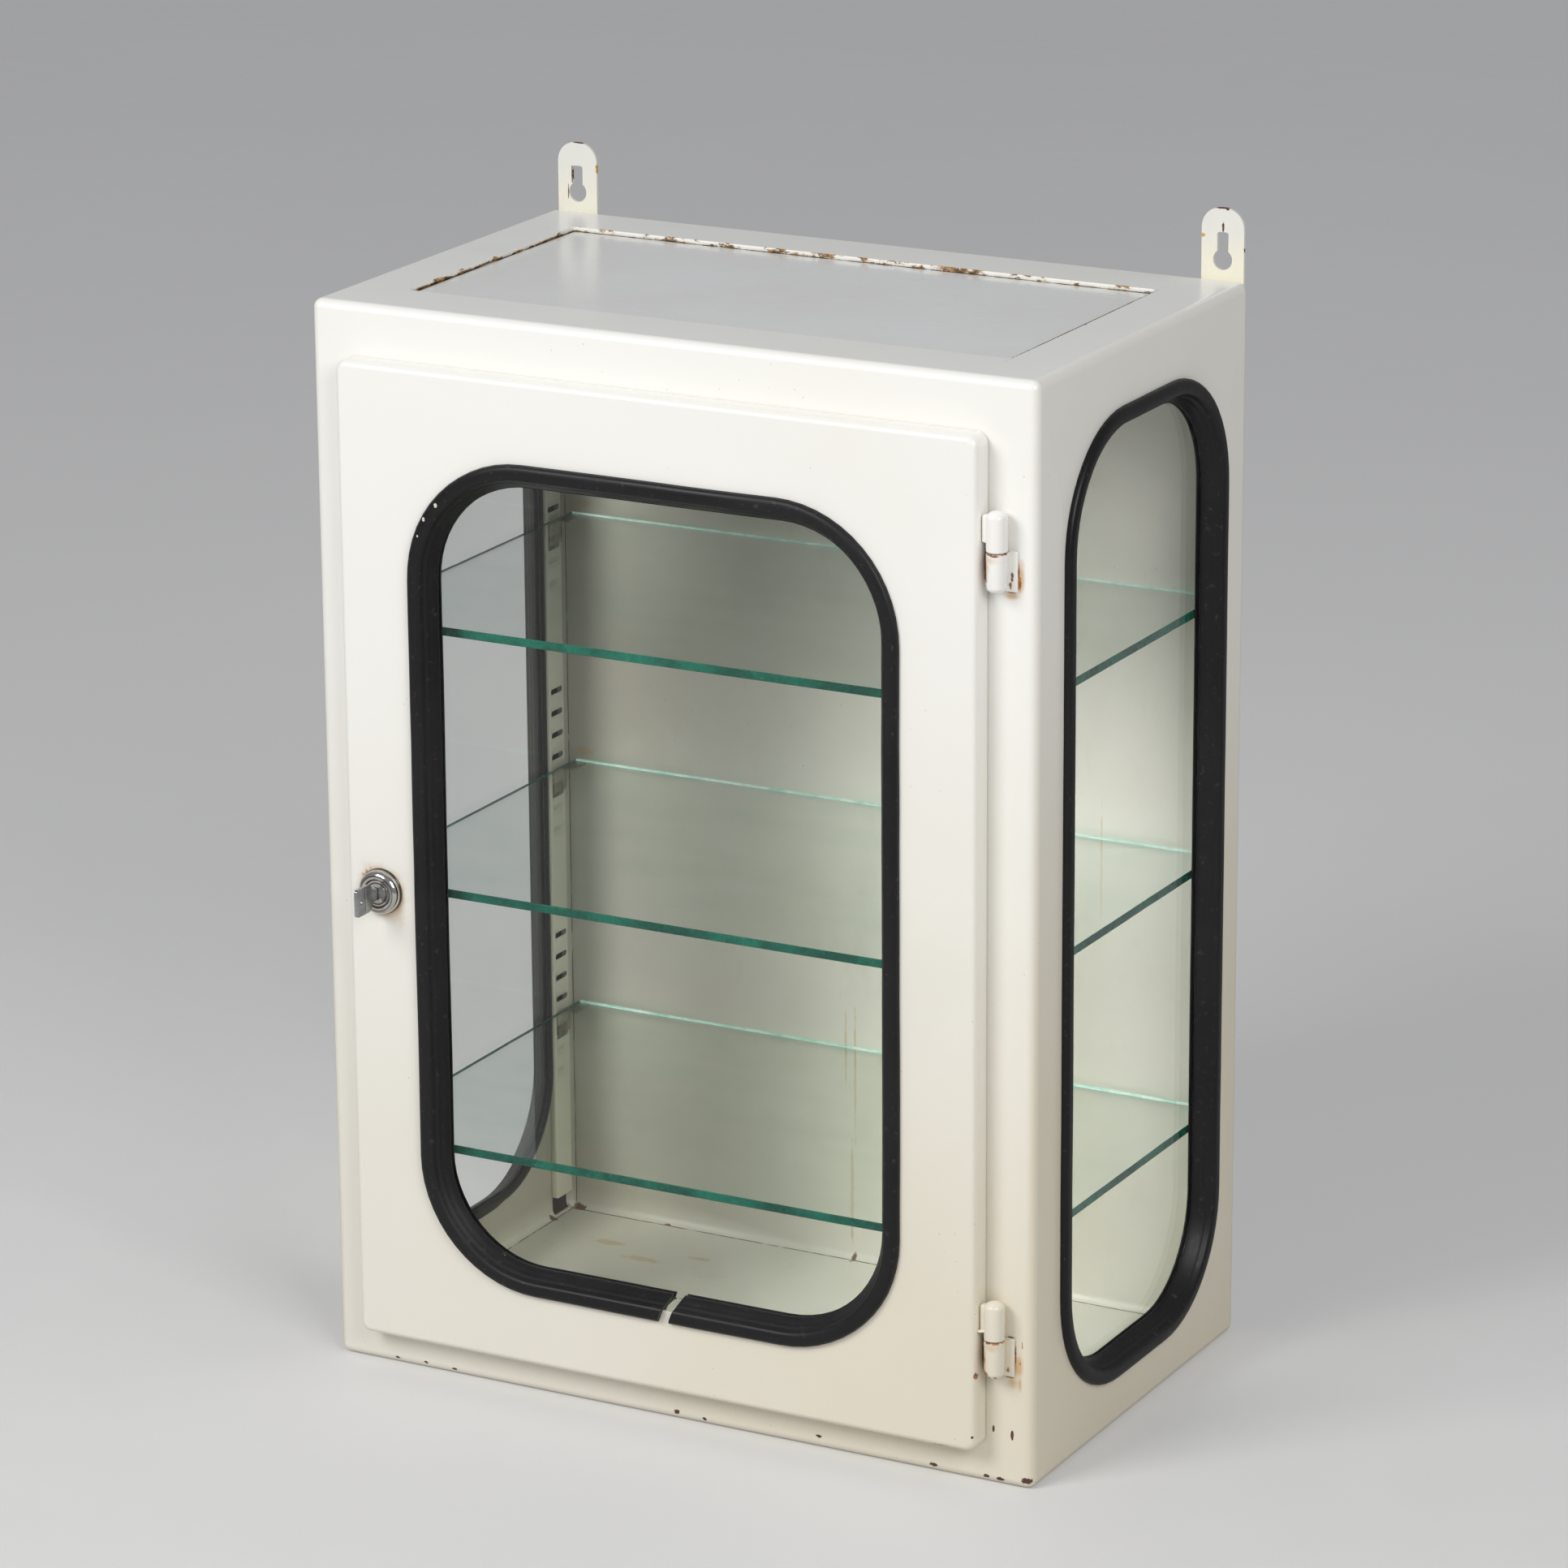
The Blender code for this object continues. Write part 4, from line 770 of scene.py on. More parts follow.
class Finish:
    def __init__(self, name):
        self.material = bpy.data.materials.new(name)
        self.material.use_nodes = True
        self.nodes = self.material.node_tree.nodes
        self.links = self.material.node_tree.links
        self.shader = self.nodes["Principled BSDF"]
        self.output = self.nodes["Material Output"]
        self.place = self.nodes.new("ShaderNodeTexCoord").outputs["Object"]

    def put(self, value, socket):
        if isinstance(value, bpy.types.NodeSocket):
            self.links.new(value, socket)
        else:
            socket.default_value = value

    def set(self, **values):
        """Set inputs of the shader, whose names are written with _ for each space."""
        for name, value in values.items():
            self.put(value, self.shader.inputs[name.replace("_", " ")])

    def add(self, kind, inputs, **settings):
        """Add a node, with its settings and with its inputs by name or number, and return its outputs."""
        node = self.nodes.new(kind)
        for name, value in settings.items():
            setattr(node, name, value)
        for socket, value in inputs.items():
            self.put(value, node.inputs[socket])
        return node.outputs

    def math(self, operation, first, second=0.0):
        return self.add("ShaderNodeMath", {0: first, 1: second}, operation=operation)[0]

    def times(self, first, second):
        return self.math("MULTIPLY", first, second)

    def plus(self, first, second):
        return self.math("ADD", first, second)

    def minus(self, first, second):
        return self.math("SUBTRACT", first, second)

    def larger(self, first, second):
        return self.math("MAXIMUM", first, second)

    def absolute(self, value):
        return self.math("ABSOLUTE", value)

    def stretched(self, scale=(1.0, 1.0, 1.0), centre=(0.0, 0.0, 0.0), turn=(0.0, 0.0, 0.0)):
        inputs = {"Vector": self.place, "Location": centre, "Rotation": turn, "Scale": scale}
        return self.add("ShaderNodeMapping", inputs, vector_type="TEXTURE")["Vector"]

    def noise(self, scale, detail=2.0, roughness=0.5, along=None):
        inputs = {"Vector": along or self.place, "Scale": scale, "Detail": detail, "Roughness": roughness}
        return self.add("ShaderNodeTexNoise", inputs)["Fac"]

    def step(self, value, low, high, to_low=0.0, to_high=1.0):
        inputs = {"Value": value, "From Min": low, "From Max": high, "To Min": to_low, "To Max": to_high}
        return self.add("ShaderNodeMapRange", inputs, interpolation_type="SMOOTHSTEP")["Result"]

    def mix(self, share, first, second):
        return self.add("ShaderNodeMix", {"Factor": share, 6: first, 7: second}, data_type="RGBA")[2]

    def lay(self, tint, over, where, share):
        """Lay a tint over a colour where a mask is 1, as strongly as its share."""
        return self.mix(self.times(where, share), over, tint)

    def axis(self, letter):
        return self.add("ShaderNodeSeparateXYZ", {0: self.place})[letter]

    def distance(self, centre, size):
        """How far away a point is, in sizes."""
        from_centre = self.stretched(size, centre)
        return self.add("ShaderNodeVectorMath", {0: from_centre}, operation="LENGTH")["Value"]

    def spots(self, marks, ragged=1.2, scale=320.0, soft=0.25):
        """1 inside any mark, which is a centre and a size, with a ragged outline."""
        nearest = self.distance(*marks[0])
        for mark in marks[1:]:
            nearest = self.math("MINIMUM", nearest, self.distance(*mark))
        outline = self.times(self.minus(self.noise(scale, 3.0), 0.5), ragged)
        return self.step(self.plus(nearest, outline), 1.0, 1.0 - soft)

    def specks(self, scale, size, share=1.0):
        """Small round specks, one to a cell of a Voronoi pattern."""
        from_middle = self.add("ShaderNodeTexVoronoi", {"Vector": self.place, "Scale": scale})["Distance"]
        chosen = self.step(self.noise(scale * 0.13, 1.0), 1.0 - share, 1.02 - share)
        return self.times(self.step(from_middle, size, size * 0.6), chosen)

    def bump(self, height, distance, strength=1.0, under=None):
        inputs = {"Height": height, "Distance": distance, "Strength": strength}
        if under:
            inputs["Normal"] = under
        return self.add("ShaderNodeBump", inputs)["Normal"]


def dress(finishes, *pieces):
    for piece in pieces:
        chosen = [face.material_index for face in piece.data.polygons]
        piece.data.materials.clear()
        for finish in finishes:
            piece.data.materials.append(finish)
        piece.data.polygons.foreach_set("material_index", chosen)


print("enamel tint:", [round(part, 3) for part in shade(240, 237, 228)])

# %% [markdown]
# ## Enamel, old and thick
#
# The paint is a thick ivory enamel with a slow orange peel. It has yellowed unevenly, and its tint also
# carries painted shade: it is darker and yellower low down, on the sides and towards the right. It is
# scuffed grey here and there, and has small chips along the bottom edge that show dark primer and rust.
# One function makes it, because the case, the door and the hinges have the same paint with other marks.

# %% The enamel recipe
PRIMER = shade(74, 58, 52)
RUST = shade(112, 60, 28)
LIGHT_RUST = shade(176, 104, 46)
RUST_TINT = shade(214, 168, 106)
SCUFF_TINT = shade(205, 200, 186)
SPECK_TINT = shade(120, 104, 84)
SIDE_YELLOWING_AND_SHADE = 0.6
ENAMEL_GLOSS = (0.21, 0.265)
PEEL_HEIGHT = 0.0003
CHIP_DEPTH = 0.0002


def enamel(name, clean, aged_and_shaded, chips=(), rust=(), stains=(), age_height=(0.0, 0.65), scuff=0.12,
           rust_shades=(RUST, LIGHT_RUST)):
    paint = Finish(name)
    # This mask is both yellowing and painted shade: darker and yellower low down, on the sides and to the
    # right.
    low_down = paint.step(paint.axis("Z"), age_height[1], age_height[0])
    cloudy = paint.step(paint.noise(5.0, 4.0, 0.6), 0.30, 0.75)
    yellowing_and_shade = paint.times(paint.plus(paint.times(low_down, 0.85), paint.times(cloudy, 0.2)), 0.9)
    yellowing_and_shade = paint.times(yellowing_and_shade, paint.step(paint.axis("X"), -0.22, 0.22, 0.6, 1.0))
    on_the_side = paint.step(paint.absolute(paint.axis("X")), CASE_HIGH.x - 0.0065, CASE_HIGH.x - 0.0002)
    lower_half = paint.plus(paint.times(low_down, 0.7), 0.3)
    yellowing_and_shade = paint.plus(yellowing_and_shade, paint.times(on_the_side, paint.times(lower_half, SIDE_YELLOWING_AND_SHADE)))
    colour = paint.mix(yellowing_and_shade, clean, aged_and_shaded)
    wiped = paint.noise(9.0, 3.0, 0.5, along=paint.stretched((1.0, 1.0, 2.0), turn=(0.0, 0.35, 0.2)))
    colour = paint.lay(SCUFF_TINT, colour, paint.step(wiped, 0.56, 0.78), scuff)
    colour = paint.lay(SPECK_TINT, colour, paint.specks(130.0, 0.055, 0.42), 0.55)
    if stains:
        colour = paint.lay(RUST_TINT, colour, paint.spots(stains, 1.6, 60.0, 0.9), 0.75)
    if rust:
        rust_colour = paint.mix(paint.step(paint.noise(600.0, 2.0), 0.4, 0.65), *rust_shades)
        colour = paint.lay(rust_colour, colour, paint.spots(rust, 1.5, 420.0, 0.5), 0.92)
    roughness = paint.step(wiped, 0.3, 0.8, *ENAMEL_GLOSS)
    surface = paint.bump(paint.noise(95.0, 2.0, 0.4), PEEL_HEIGHT, 0.09)
    surface = paint.bump(paint.noise(1400.0, 2.0), PEEL_HEIGHT / 15, 0.2, under=surface)
    if chips:
        bare = paint.spots(chips, 1.3, 700.0, 0.15)
        bare_colour = paint.mix(paint.step(paint.noise(500.0), 0.45, 0.6), PRIMER, RUST)
        colour = paint.mix(bare, colour, bare_colour)
        surface = paint.bump(bare, -CHIP_DEPTH, 0.8, under=surface)
        roughness = paint.plus(roughness, paint.times(bare, 0.4))
    paint.set(Base_Color=colour, Roughness=roughness, Normal=surface, Specular_IOR_Level=0.5)
    return paint.material


print("rust:", [round(part, 3) for part in RUST])

# %% [markdown]
# A mark is a centre and a size, so the same few numbers place a chip, a rust spot or a stain. Marks
# on an upright sheet share its depth, and only their x, their z and their half width and height differ.

# %% Marks on the case and the door
# The second ivory is where both the yellowing and the painted shade lead.
CLEAN_IVORY = shade(246, 245, 240)
AGED_AND_SHADED_IVORY = shade(232, 223, 201)
THROUGH_SHEET = 0.01
ON_CASE = CASE_LOW.y
ON_DOOR = -0.166
ON_DOOR_RETURN = -0.1538


def marks_on(y, *marks):
    return [((x, y, z), (width, THROUGH_SHEET, height)) for x, z, width, height in marks]


def marks_by_leaf(*marks):
    return marks_on(ON_CASE, *((leaf_side + x, z, width, height) for x, z, width, height in marks))


leaf_low, leaf_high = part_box("upper_hinge_frame_half")
low_leaf_low, low_leaf_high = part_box("lower_hinge_frame_half")
leaf_side, upper_foot, upper_top = leaf_high.x, leaf_low.z, leaf_high.z
lower_foot, lower_top = low_leaf_low.z, low_leaf_high.z
case_chips_and_shade_line = marks_on(
    ON_CASE, (-0.2065, 0.004, 0.0018, 0.001), (-0.185, 0.0045, 0.0014, 0.001),
    (-0.1636, 0.0038, 0.0022, 0.001), (0.0001, 0.0054, 0.0022, 0.0017), (0.020, 0.0042, 0.0015, 0.0012),
    (0.1016, 0.0084, 0.0022, 0.0012), (0.1818, 0.0048, 0.003, 0.0013), (0.2182, 0.0044, 0.0022, 0.0012),
    (0.2277, 0.0041, 0.003, 0.0013), (0.2359, 0.0348, 0.0012, 0.0035), (0.2231, 0.0369, 0.0009, 0.0022))
case_chips_and_shade_line += marks_on(ON_CASE + 0.001, (0.2455, 0.006, 0.0035, 0.0022))
# Along the recess's right rim a thin dark line is partly rust and partly a painted shade of the lip's edge.
case_chips_and_shade_line += [((RECESS_SIDE + 0.0010, 0.0, CASE_HIGH.z), (0.0007, 0.104, 0.003)),
               ((RECESS_SIDE + 0.0012, -0.002, CASE_HIGH.z), (0.0013, 0.0018, 0.003))]
case_rust = marks_by_leaf(
    (0.0001, upper_top - 0.013, 0.0006, 0.0060), (0.0008, upper_foot + 0.0050, 0.0012, 0.0050),
    (-0.0045, upper_foot - 0.0006, 0.0030, 0.0007), (-0.003, lower_top + 0.0003, 0.0035, 0.0008),
    (0.0046, lower_top - 0.004, 0.0004, 0.0028), (0.0001, lower_top - 0.011, 0.0006, 0.009),
    (0.0032, lower_foot + 0.009, 0.0005, 0.0014), (-0.0040, lower_foot - 0.0008, 0.0035, 0.0010))
case_stains = marks_by_leaf(
    (0.0010, upper_foot + 0.0080, 0.0034, 0.0120), (-0.004, upper_foot - 0.0028, 0.0065, 0.0034),
    (0.0020, lower_foot + 0.0070, 0.0040, 0.0110), (-0.002, lower_foot - 0.0040, 0.0060, 0.0055),
    (0.003, lower_foot - 0.0040, 0.0022, 0.0060))
case_enamel = enamel("ivory enamel on the case", CLEAN_IVORY, AGED_AND_SHADED_IVORY, case_chips_and_shade_line, case_rust, case_stains)

door_chips = marks_on(ON_DOOR, (0.1945, 0.0255, 0.0045, 0.0008), (0.190, 0.0248, 0.0006, 0.0018),
                      (0.199, 0.0248, 0.0006, 0.0018), (0.2161, 0.0351, 0.0009, 0.0009))
# The marks on the door's edge beside each barrel are rust and a painted shade of the gap between barrel and
# door.
door_rust_and_gap_shade = [((door_high.x, ON_DOOR_RETURN, upper_top - 0.0105), (0.004, 0.0021, 0.0140)),
             ((door_high.x, ON_DOOR_RETURN, lower_top - 0.0115), (0.004, 0.0022, 0.0150)),
             ((door_high.x - 0.0002, -0.1640, lower_top - 0.0235), (0.0013, 0.004, 0.0030))]
door_rust_and_gap_shade += marks_on(ON_DOOR, (LOCK_X - 0.0058, LOCK_Z + 0.0062, 0.0088, 0.0086))
door_stains = marks_on(ON_DOOR, (LOCK_X + 0.0040, LOCK_Z - 0.0030, 0.0205, 0.0205),
                       (LOCK_X - 0.0020, LOCK_Z + 0.0030, 0.0185, 0.0185))
door_enamel = enamel("ivory enamel on the door", CLEAN_IVORY, AGED_AND_SHADED_IVORY, door_chips, door_rust_and_gap_shade, door_stains)
print("marks on the case:", len(case_chips_and_shade_line + case_rust + case_stains))
print("marks on the door:", len(door_chips + door_rust_and_gap_shade + door_stains))

# %% Marks on the hinges
LEAF_FACE = -0.1525
pin_low, pin_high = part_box("upper_hinge_pin")
pin = (pin_low + pin_high) / 2


def by_pin(x, y, z, *size):
    return (pin.x + x, pin.y + y, z), size


def on_leaf(x, z, *size):
    return (leaf_side + x, LEAF_FACE, z), size


hinge_rust_and_gap_shade = [on_leaf(-0.0032, upper_foot + 0.010, 0.0011, 0.003, 0.0040),
              on_leaf(-0.0044, upper_foot + 0.004, 0.0012, 0.003, 0.0026),
              on_leaf(-0.0040, lower_foot + 0.0045, 0.0012, 0.003, 0.0018),
              by_pin(-0.0066, -0.004, upper_foot + 0.0030, 0.0034, 0.006, 0.0036),
              by_pin(0.0015, -0.006, upper_top - 0.0010, 0.0032, 0.004, 0.0009),
              by_pin(-0.0050, -0.005, lower_foot + 0.0030, 0.0056, 0.007, 0.0046),
              by_pin(-0.001, -0.005, lower_foot + 0.0012, 0.0022, 0.004, 0.0009),
              by_pin(0.003, -0.005, lower_foot + 0.0022, 0.0016, 0.004, 0.0009)]
hinge_stains = []
for joint in (upper_top, lower_top):
    # Left of each barrel, rust stands together with a painted shade of the gap beside the door.
    hinge_rust_and_gap_shade += [by_pin(0.0, 0.0, joint - 0.0001, 0.0100, 0.010, 0.0014),
                   by_pin(-0.0073, -0.002, joint - 0.011, 0.0041, 0.007, 0.0125)]
    hinge_stains += [by_pin(-0.001, 0.0, joint - 0.0035, 0.0080, 0.009, 0.0042),
                     by_pin(-0.005, -0.003, joint - 0.012, 0.0040, 0.006, 0.0120)]
hinge_enamel = enamel("ivory enamel on the hinges", CLEAN_IVORY, AGED_AND_SHADED_IVORY, rust=hinge_rust_and_gap_shade,
                      stains=hinge_stains, rust_shades=(shade(92, 50, 24), shade(196, 118, 58)))
print("marks on the hinges:", len(hinge_rust_and_gap_shade + hinge_stains))

# %% [markdown]
# ## Inside of the case
#
# Inside, the paint is thinner and greyer, with a green cast that the glass adds. Its tone is painted
# light and shade: lighter on the right and on the floor, where light comes in through the door, and
# darker on the left and low on the right. The welded corners show as thin dark lines, yellow drips run
# down the back, and rings of dried liquid lie on the floor. Behind the slotted strips the wall gets a
# painted shade, nearly black, that stands for the dark inside the closed channels, so that their slots
# read as dark bars.

# %% Interior enamel
# The tones and steps below paint light and shade into the interior: lighter to the right and on the floor,
# darker to the left and low on the right.
PAINTED_LIGHT_ACROSS = (-0.17, -0.02)
PAINTED_LIGHT_DOWN_TO_FLOOR = (0.02, 0.002)
PAINTED_SHADE_TO_THE_RIGHT = (0.04, 0.16)
PAINTED_SHADE_LOW_DOWN = (0.38, 0.20)
inside = Finish("enamel inside the case")
x_place, y_place, z_place = (inside.axis(letter) for letter in "XYZ")
cloudy = inside.step(inside.noise(4.0, 4.0, 0.6), 0.3, 0.7)
shaded_tone = inside.mix(cloudy, shade(194, 191, 179), shade(185, 180, 164))
lit_tone = inside.mix(cloudy, shade(231, 228, 217), shade(221, 217, 202))
on_the_floor = inside.step(z_place, *PAINTED_LIGHT_DOWN_TO_FLOOR)
brighter = inside.larger(inside.step(x_place, *PAINTED_LIGHT_ACROSS), inside.times(on_the_floor, 0.8))
shaded_low_right = inside.times(inside.step(x_place, *PAINTED_SHADE_TO_THE_RIGHT), inside.step(z_place, *PAINTED_SHADE_LOW_DOWN))
brighter = inside.times(brighter, inside.step(shaded_low_right, 0.0, 1.0, 1.0, 0.45))
tone = inside.mix(brighter, shaded_tone, lit_tone)
smudge = inside.noise(22.0, 5.0, 0.7, along=inside.stretched((1.0, 1.0, 2.2)))
tone = inside.lay(shade(178, 172, 150), tone, inside.step(smudge, 0.55, 0.75), 0.25)
print("inside, the paint is fresh to the right of x =", PAINTED_LIGHT_ACROSS[1])

# %% Dark seams in the corners
SEAM_WOBBLE = 0.0008
FLOOR_SEAM_Y = 0.1446
LEFT_SEAM_X = 0.2445
BACK_SEAM_X = 0.2440
wobble = inside.times(inside.minus(inside.noise(45.0, 3.0), 0.5), SEAM_WOBBLE)


def seam(from_corner, width, where):
    line = inside.step(inside.absolute(inside.plus(from_corner, wobble)), width, width * 0.4)
    return inside.times(line, where)


at_foot = inside.step(z_place, 0.004, 0.003)
floor_seam = seam(inside.minus(y_place, FLOOR_SEAM_Y), 0.0007, at_foot)
left_seam = seam(inside.plus(x_place, LEFT_SEAM_X), 0.0006, at_foot)
back_seam = seam(inside.plus(x_place, BACK_SEAM_X), 0.0004, inside.step(y_place, 0.1455, 0.148))
seams = inside.larger(inside.larger(floor_seam, left_seam), back_seam)
seams = inside.times(seams, inside.step(inside.noise(70.0, 4.0, 0.7), 0.34, 0.5))
seam_colour = inside.mix(inside.step(inside.noise(120.0), 0.5, 0.62), shade(92, 78, 62), RUST)
tone = inside.mix(seams, tone, seam_colour)
print("seams wobble by up to mm:", round(500 * SEAM_WOBBLE, 2))

# %% Drips, rust and the painted shade behind the strips
ON_BACK = CASE_HIGH.y - SHEET
STRIP_EDGE = (0.0004, 0.0010)
STRIP_SHADE = shade(44, 38, 34)
drips = marks_on(ON_BACK, (-0.030, 0.045, 0.0016, 0.045), (-0.0275, 0.13, 0.0011, 0.060),
                 (-0.0345, 0.15, 0.0009, 0.040), (0.150, 0.30, 0.0009, 0.05))
drips += [((-0.19, 0.099, 0.001), (0.014, 0.006, 0.01)), ((-0.156, 0.082, 0.001), (0.018, 0.005, 0.01)),
          ((-0.120, 0.100, 0.001), (0.010, 0.004, 0.01))]
for shelf in shelf_names[1:]:
    drips += marks_on(ON_BACK, (-0.231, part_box(shelf)[1].z + 0.004, 0.009, 0.0035))
tone = inside.lay(shade(196, 164, 104), tone, inside.spots(drips, 1.3, 150.0, 0.5), 0.5)
inside_rust = marks_on(ON_BACK, (-0.0277, 0.002, 0.0022, 0.004))
inside_rust += [((-0.247, 0.136, 0.136), (0.004, 0.012, 0.003)),
                ((-0.247, 0.120, 0.001), (0.005, 0.003, 0.004)),
                ((-0.240, 0.146, 0.002), (0.006, 0.004, 0.003)),
                ((0.10, 0.1455, 0.001), (0.002, 0.001, 0.004)),
                ((-0.17, 0.1455, 0.001), (0.003, 0.0012, 0.004))]
tone = inside.lay(RUST, tone, inside.spots(inside_rust, 1.4, 400.0, 0.4), 0.9)
tone = inside.lay(shade(110, 92, 66), tone, inside.specks(95.0, 0.05, 0.45), 0.6)
# Behind the strips the wall gets a painted shade, nearly black, for the dark inside the closed channels.
behind = []
for end in ("front", "back"):
    strip_low, strip_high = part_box(f"pilaster_{end}_left")
    half = (strip_high.y - strip_low.y) / 2
    aside = inside.absolute(inside.minus(y_place, strip_low.y + half))
    behind.append(inside.step(aside, *(half - edge for edge in STRIP_EDGE)))
on_side_wall = inside.step(inside.absolute(x_place), CASE_HIGH.x - 0.0035, CASE_HIGH.x - 0.0025)
tone = inside.mix(inside.times(inside.larger(*behind), on_side_wall), tone, STRIP_SHADE)
relief = inside.bump(inside.noise(60.0, 3.0), 0.0005, 0.25)
relief = inside.bump(seams, -0.0003, 0.6, under=relief)
inside.set(Base_Color=tone, Roughness=inside.step(smudge, 0.3, 0.8, 0.28, 0.5), Normal=relief)
print("drips and rings inside:", len(drips))

# %% [markdown]
# ## The recess's edge
#
# Paint never holds on a sharp turned-down edge. Along the back and the left of the recess it has
# lifted off in flakes, with white edges, brown rust and dark patches side by side, and the left lip
# is barer and darker low down.

# %% Flaking edge of the recess
LIP_FOOT = 0.696
NEAR_RECESS = 0.001
flaking = Finish("flaking enamel on the recess edge")
flakes = flaking.noise(110.0, 5.0, 0.7, along=flaking.stretched((1.6, 1.6, 0.7)))
rusting = flaking.step(flaking.noise(260.0, 3.0), 0.4, 0.65)
old_rust = flaking.mix(rusting, shade(112, 86, 56), shade(186, 142, 84))
# The left lip is barer and darker low down, and paler at its top.
left_edge = flaking.step(flaking.axis("X"), -0.2, -0.206)
low_on_lip = flaking.step(flaking.axis("Z"), CASE_HIGH.z - 0.0010, CASE_HIGH.z - 0.0022)
left_share = flaking.minus(flaking.times(low_on_lip, 0.15), 0.05)
bare_share = flaking.plus(flakes, flaking.times(left_edge, left_share))
edge_colour = flaking.mix(flaking.step(bare_share, 0.50, 0.57), shade(240, 237, 228), old_rust)
edge_colour = flaking.lay(shade(52, 44, 38), edge_colour, flaking.step(bare_share, 0.62, 0.70), 0.9)
flaking.set(Base_Color=edge_colour, Roughness=flaking.step(flakes, 0.4, 0.6, 0.35, 0.8),
            Normal=flaking.bump(flakes, 0.0006, 0.7))

for face in case_shell.data.polygons:
    centre = face.center
    on_lip = LIP_FOOT < centre.z < CASE_HIGH.z - 2 * ON_PLANE
    between_ends = abs(centre.x) < RECESS_SIDE + NEAR_RECESS
    between_rims = RECESS_FRONT - NEAR_RECESS < centre.y < RECESS_BACK + NEAR_RECESS
    face.material_index = 2 if on_lip and between_ends and between_rims else 0
dress([case_enamel, inside.material, flaking.material, inside.material], case_shell)
dress([door_enamel], door_pan)
print("faces on the lip:", sum(face.material_index == 2 for face in case_shell.data.polygons))

# %% The top panel, with a dark line of dirt and painted shade round its edge
top = Finish("ivory enamel on the sunken top")
cloud = top.noise(6.0, 5.0, 0.6)
colour = top.mix(top.step(cloud, 0.3, 0.7), shade(238, 238, 236), shade(230, 229, 224))
scratch_place = top.stretched((1.0, 0.06, 1.0), turn=(0.0, 0.0, 0.7))
scratches = top.step(top.noise(60.0, 2.0, 0.5, along=scratch_place), 0.66, 0.70)
colour = top.lay(shade(196, 190, 176), colour, scratches, 0.35)
recess_middle = (RECESS_FRONT + RECESS_BACK) / 2
# A dark line round the panel's edge, where it meets the recess's walls, is partly dirt and partly painted
# shade.
near_ends = top.step(top.absolute(top.axis("X")), RECESS_SIDE - 0.0014, RECESS_SIDE - 0.0004)
half_depth = (RECESS_BACK - RECESS_FRONT) / 2
from_middle = top.absolute(top.minus(top.axis("Y"), recess_middle))
near_long_edges = top.step(from_middle, half_depth - 0.0015, half_depth - 0.0004)
patchy = top.step(top.noise(80.0, 4.0, 0.7), 0.35, 0.55)
colour = top.mix(top.times(top.larger(near_ends, near_long_edges), patchy), colour, shade(84, 70, 56))
top.set(Base_Color=colour, Roughness=top.step(cloud, 0.3, 0.75, 0.16, 0.26),
        Normal=top.bump(top.noise(40.0, 2.0), 0.0004, 0.25))
dress([top.material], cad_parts["top_panel"])
print("recess from front to back in mm:", round(2000 * half_depth))

# %% [markdown]
# ## Rubber and glass
#
# Old rubber is never black: it has a brown bloom, dust in its valley, a dull gloss on its crest and, at
# one bend of the door's gasket, three specks of paint. Glass is a clear solid whose shadow is let
# through, because a lamp's light isn't traced through a refracting pane, and it bends light less than
# real glass, because a higher index would mirror more of the studio than a room's dim walls show. The
# cut edge of a shelf is tinted and rough, as ground glass is, and its paler grains are partly the grind
# and partly a painted sparkle. The back edge is a painted glow: a pale tint with a faint emission that
# stands for the light that the sheet collects.

# %% Rubber
rubber = Finish("old black rubber")
bloom = rubber.noise(9.0, 4.0, 0.6)
colour = rubber.mix(rubber.step(bloom, 0.3, 0.7), shade(17, 16, 17), shade(28, 26, 27))
dusty = rubber.noise(240.0, 3.0, 0.6)
colour = rubber.lay(shade(104, 98, 92), colour, rubber.step(dusty, 0.60, 0.75), 0.25)
paint_specks = marks_on(-0.170, (-0.1504, 0.584, 0.0014, 0.0016), (-0.1594, 0.5741, 0.0012, 0.0015),
                        (-0.1640, 0.563, 0.0007, 0.0009))
painted = rubber.larger(rubber.spots(paint_specks, 0.8, 900.0), rubber.specks(70.0, 0.02, 0.35))
rubber.set(Base_Color=rubber.mix(painted, colour, shade(214, 210, 200)),
           Roughness=rubber.step(bloom, 0.3, 0.75, 0.34, 0.52), Specular_IOR_Level=0.32,
           Normal=rubber.bump(rubber.noise(700.0, 3.0), 0.00008, 0.35))
dress([rubber.material], *(bpy.data.objects[name] for name in (
    "side_gasket_rubber_left", "side_gasket_rubber_right", "door_gasket_rubber")))
print("specks of paint on the door's gasket:", len(paint_specks))

# %% Clear glass
PANE_INDEX = 1.27
SHELF_INDEX = 1.35
PANE_SHADE = (0.93, 0.93, 0.92, 1.0)
SHELF_SHADE = (0.925, 0.94, 0.925, 1.0)


def make_clear(finish, index, lamp_tint):
    """Bend what is seen through the glass, but show lamps a clear surface, so what is behind it is lit."""
    finish.set(Transmission_Weight=1.0, IOR=index)
    for_lamps = finish.add("ShaderNodeLightPath", {})["Is Shadow Ray"]
    clear = finish.add("ShaderNodeBsdfTransparent", {"Color": lamp_tint})["BSDF"]
    either = finish.add("ShaderNodeMixShader", {0: for_lamps, 1: finish.shader.outputs["BSDF"], 2: clear})
    finish.put(either["Shader"], finish.output.inputs["Surface"])


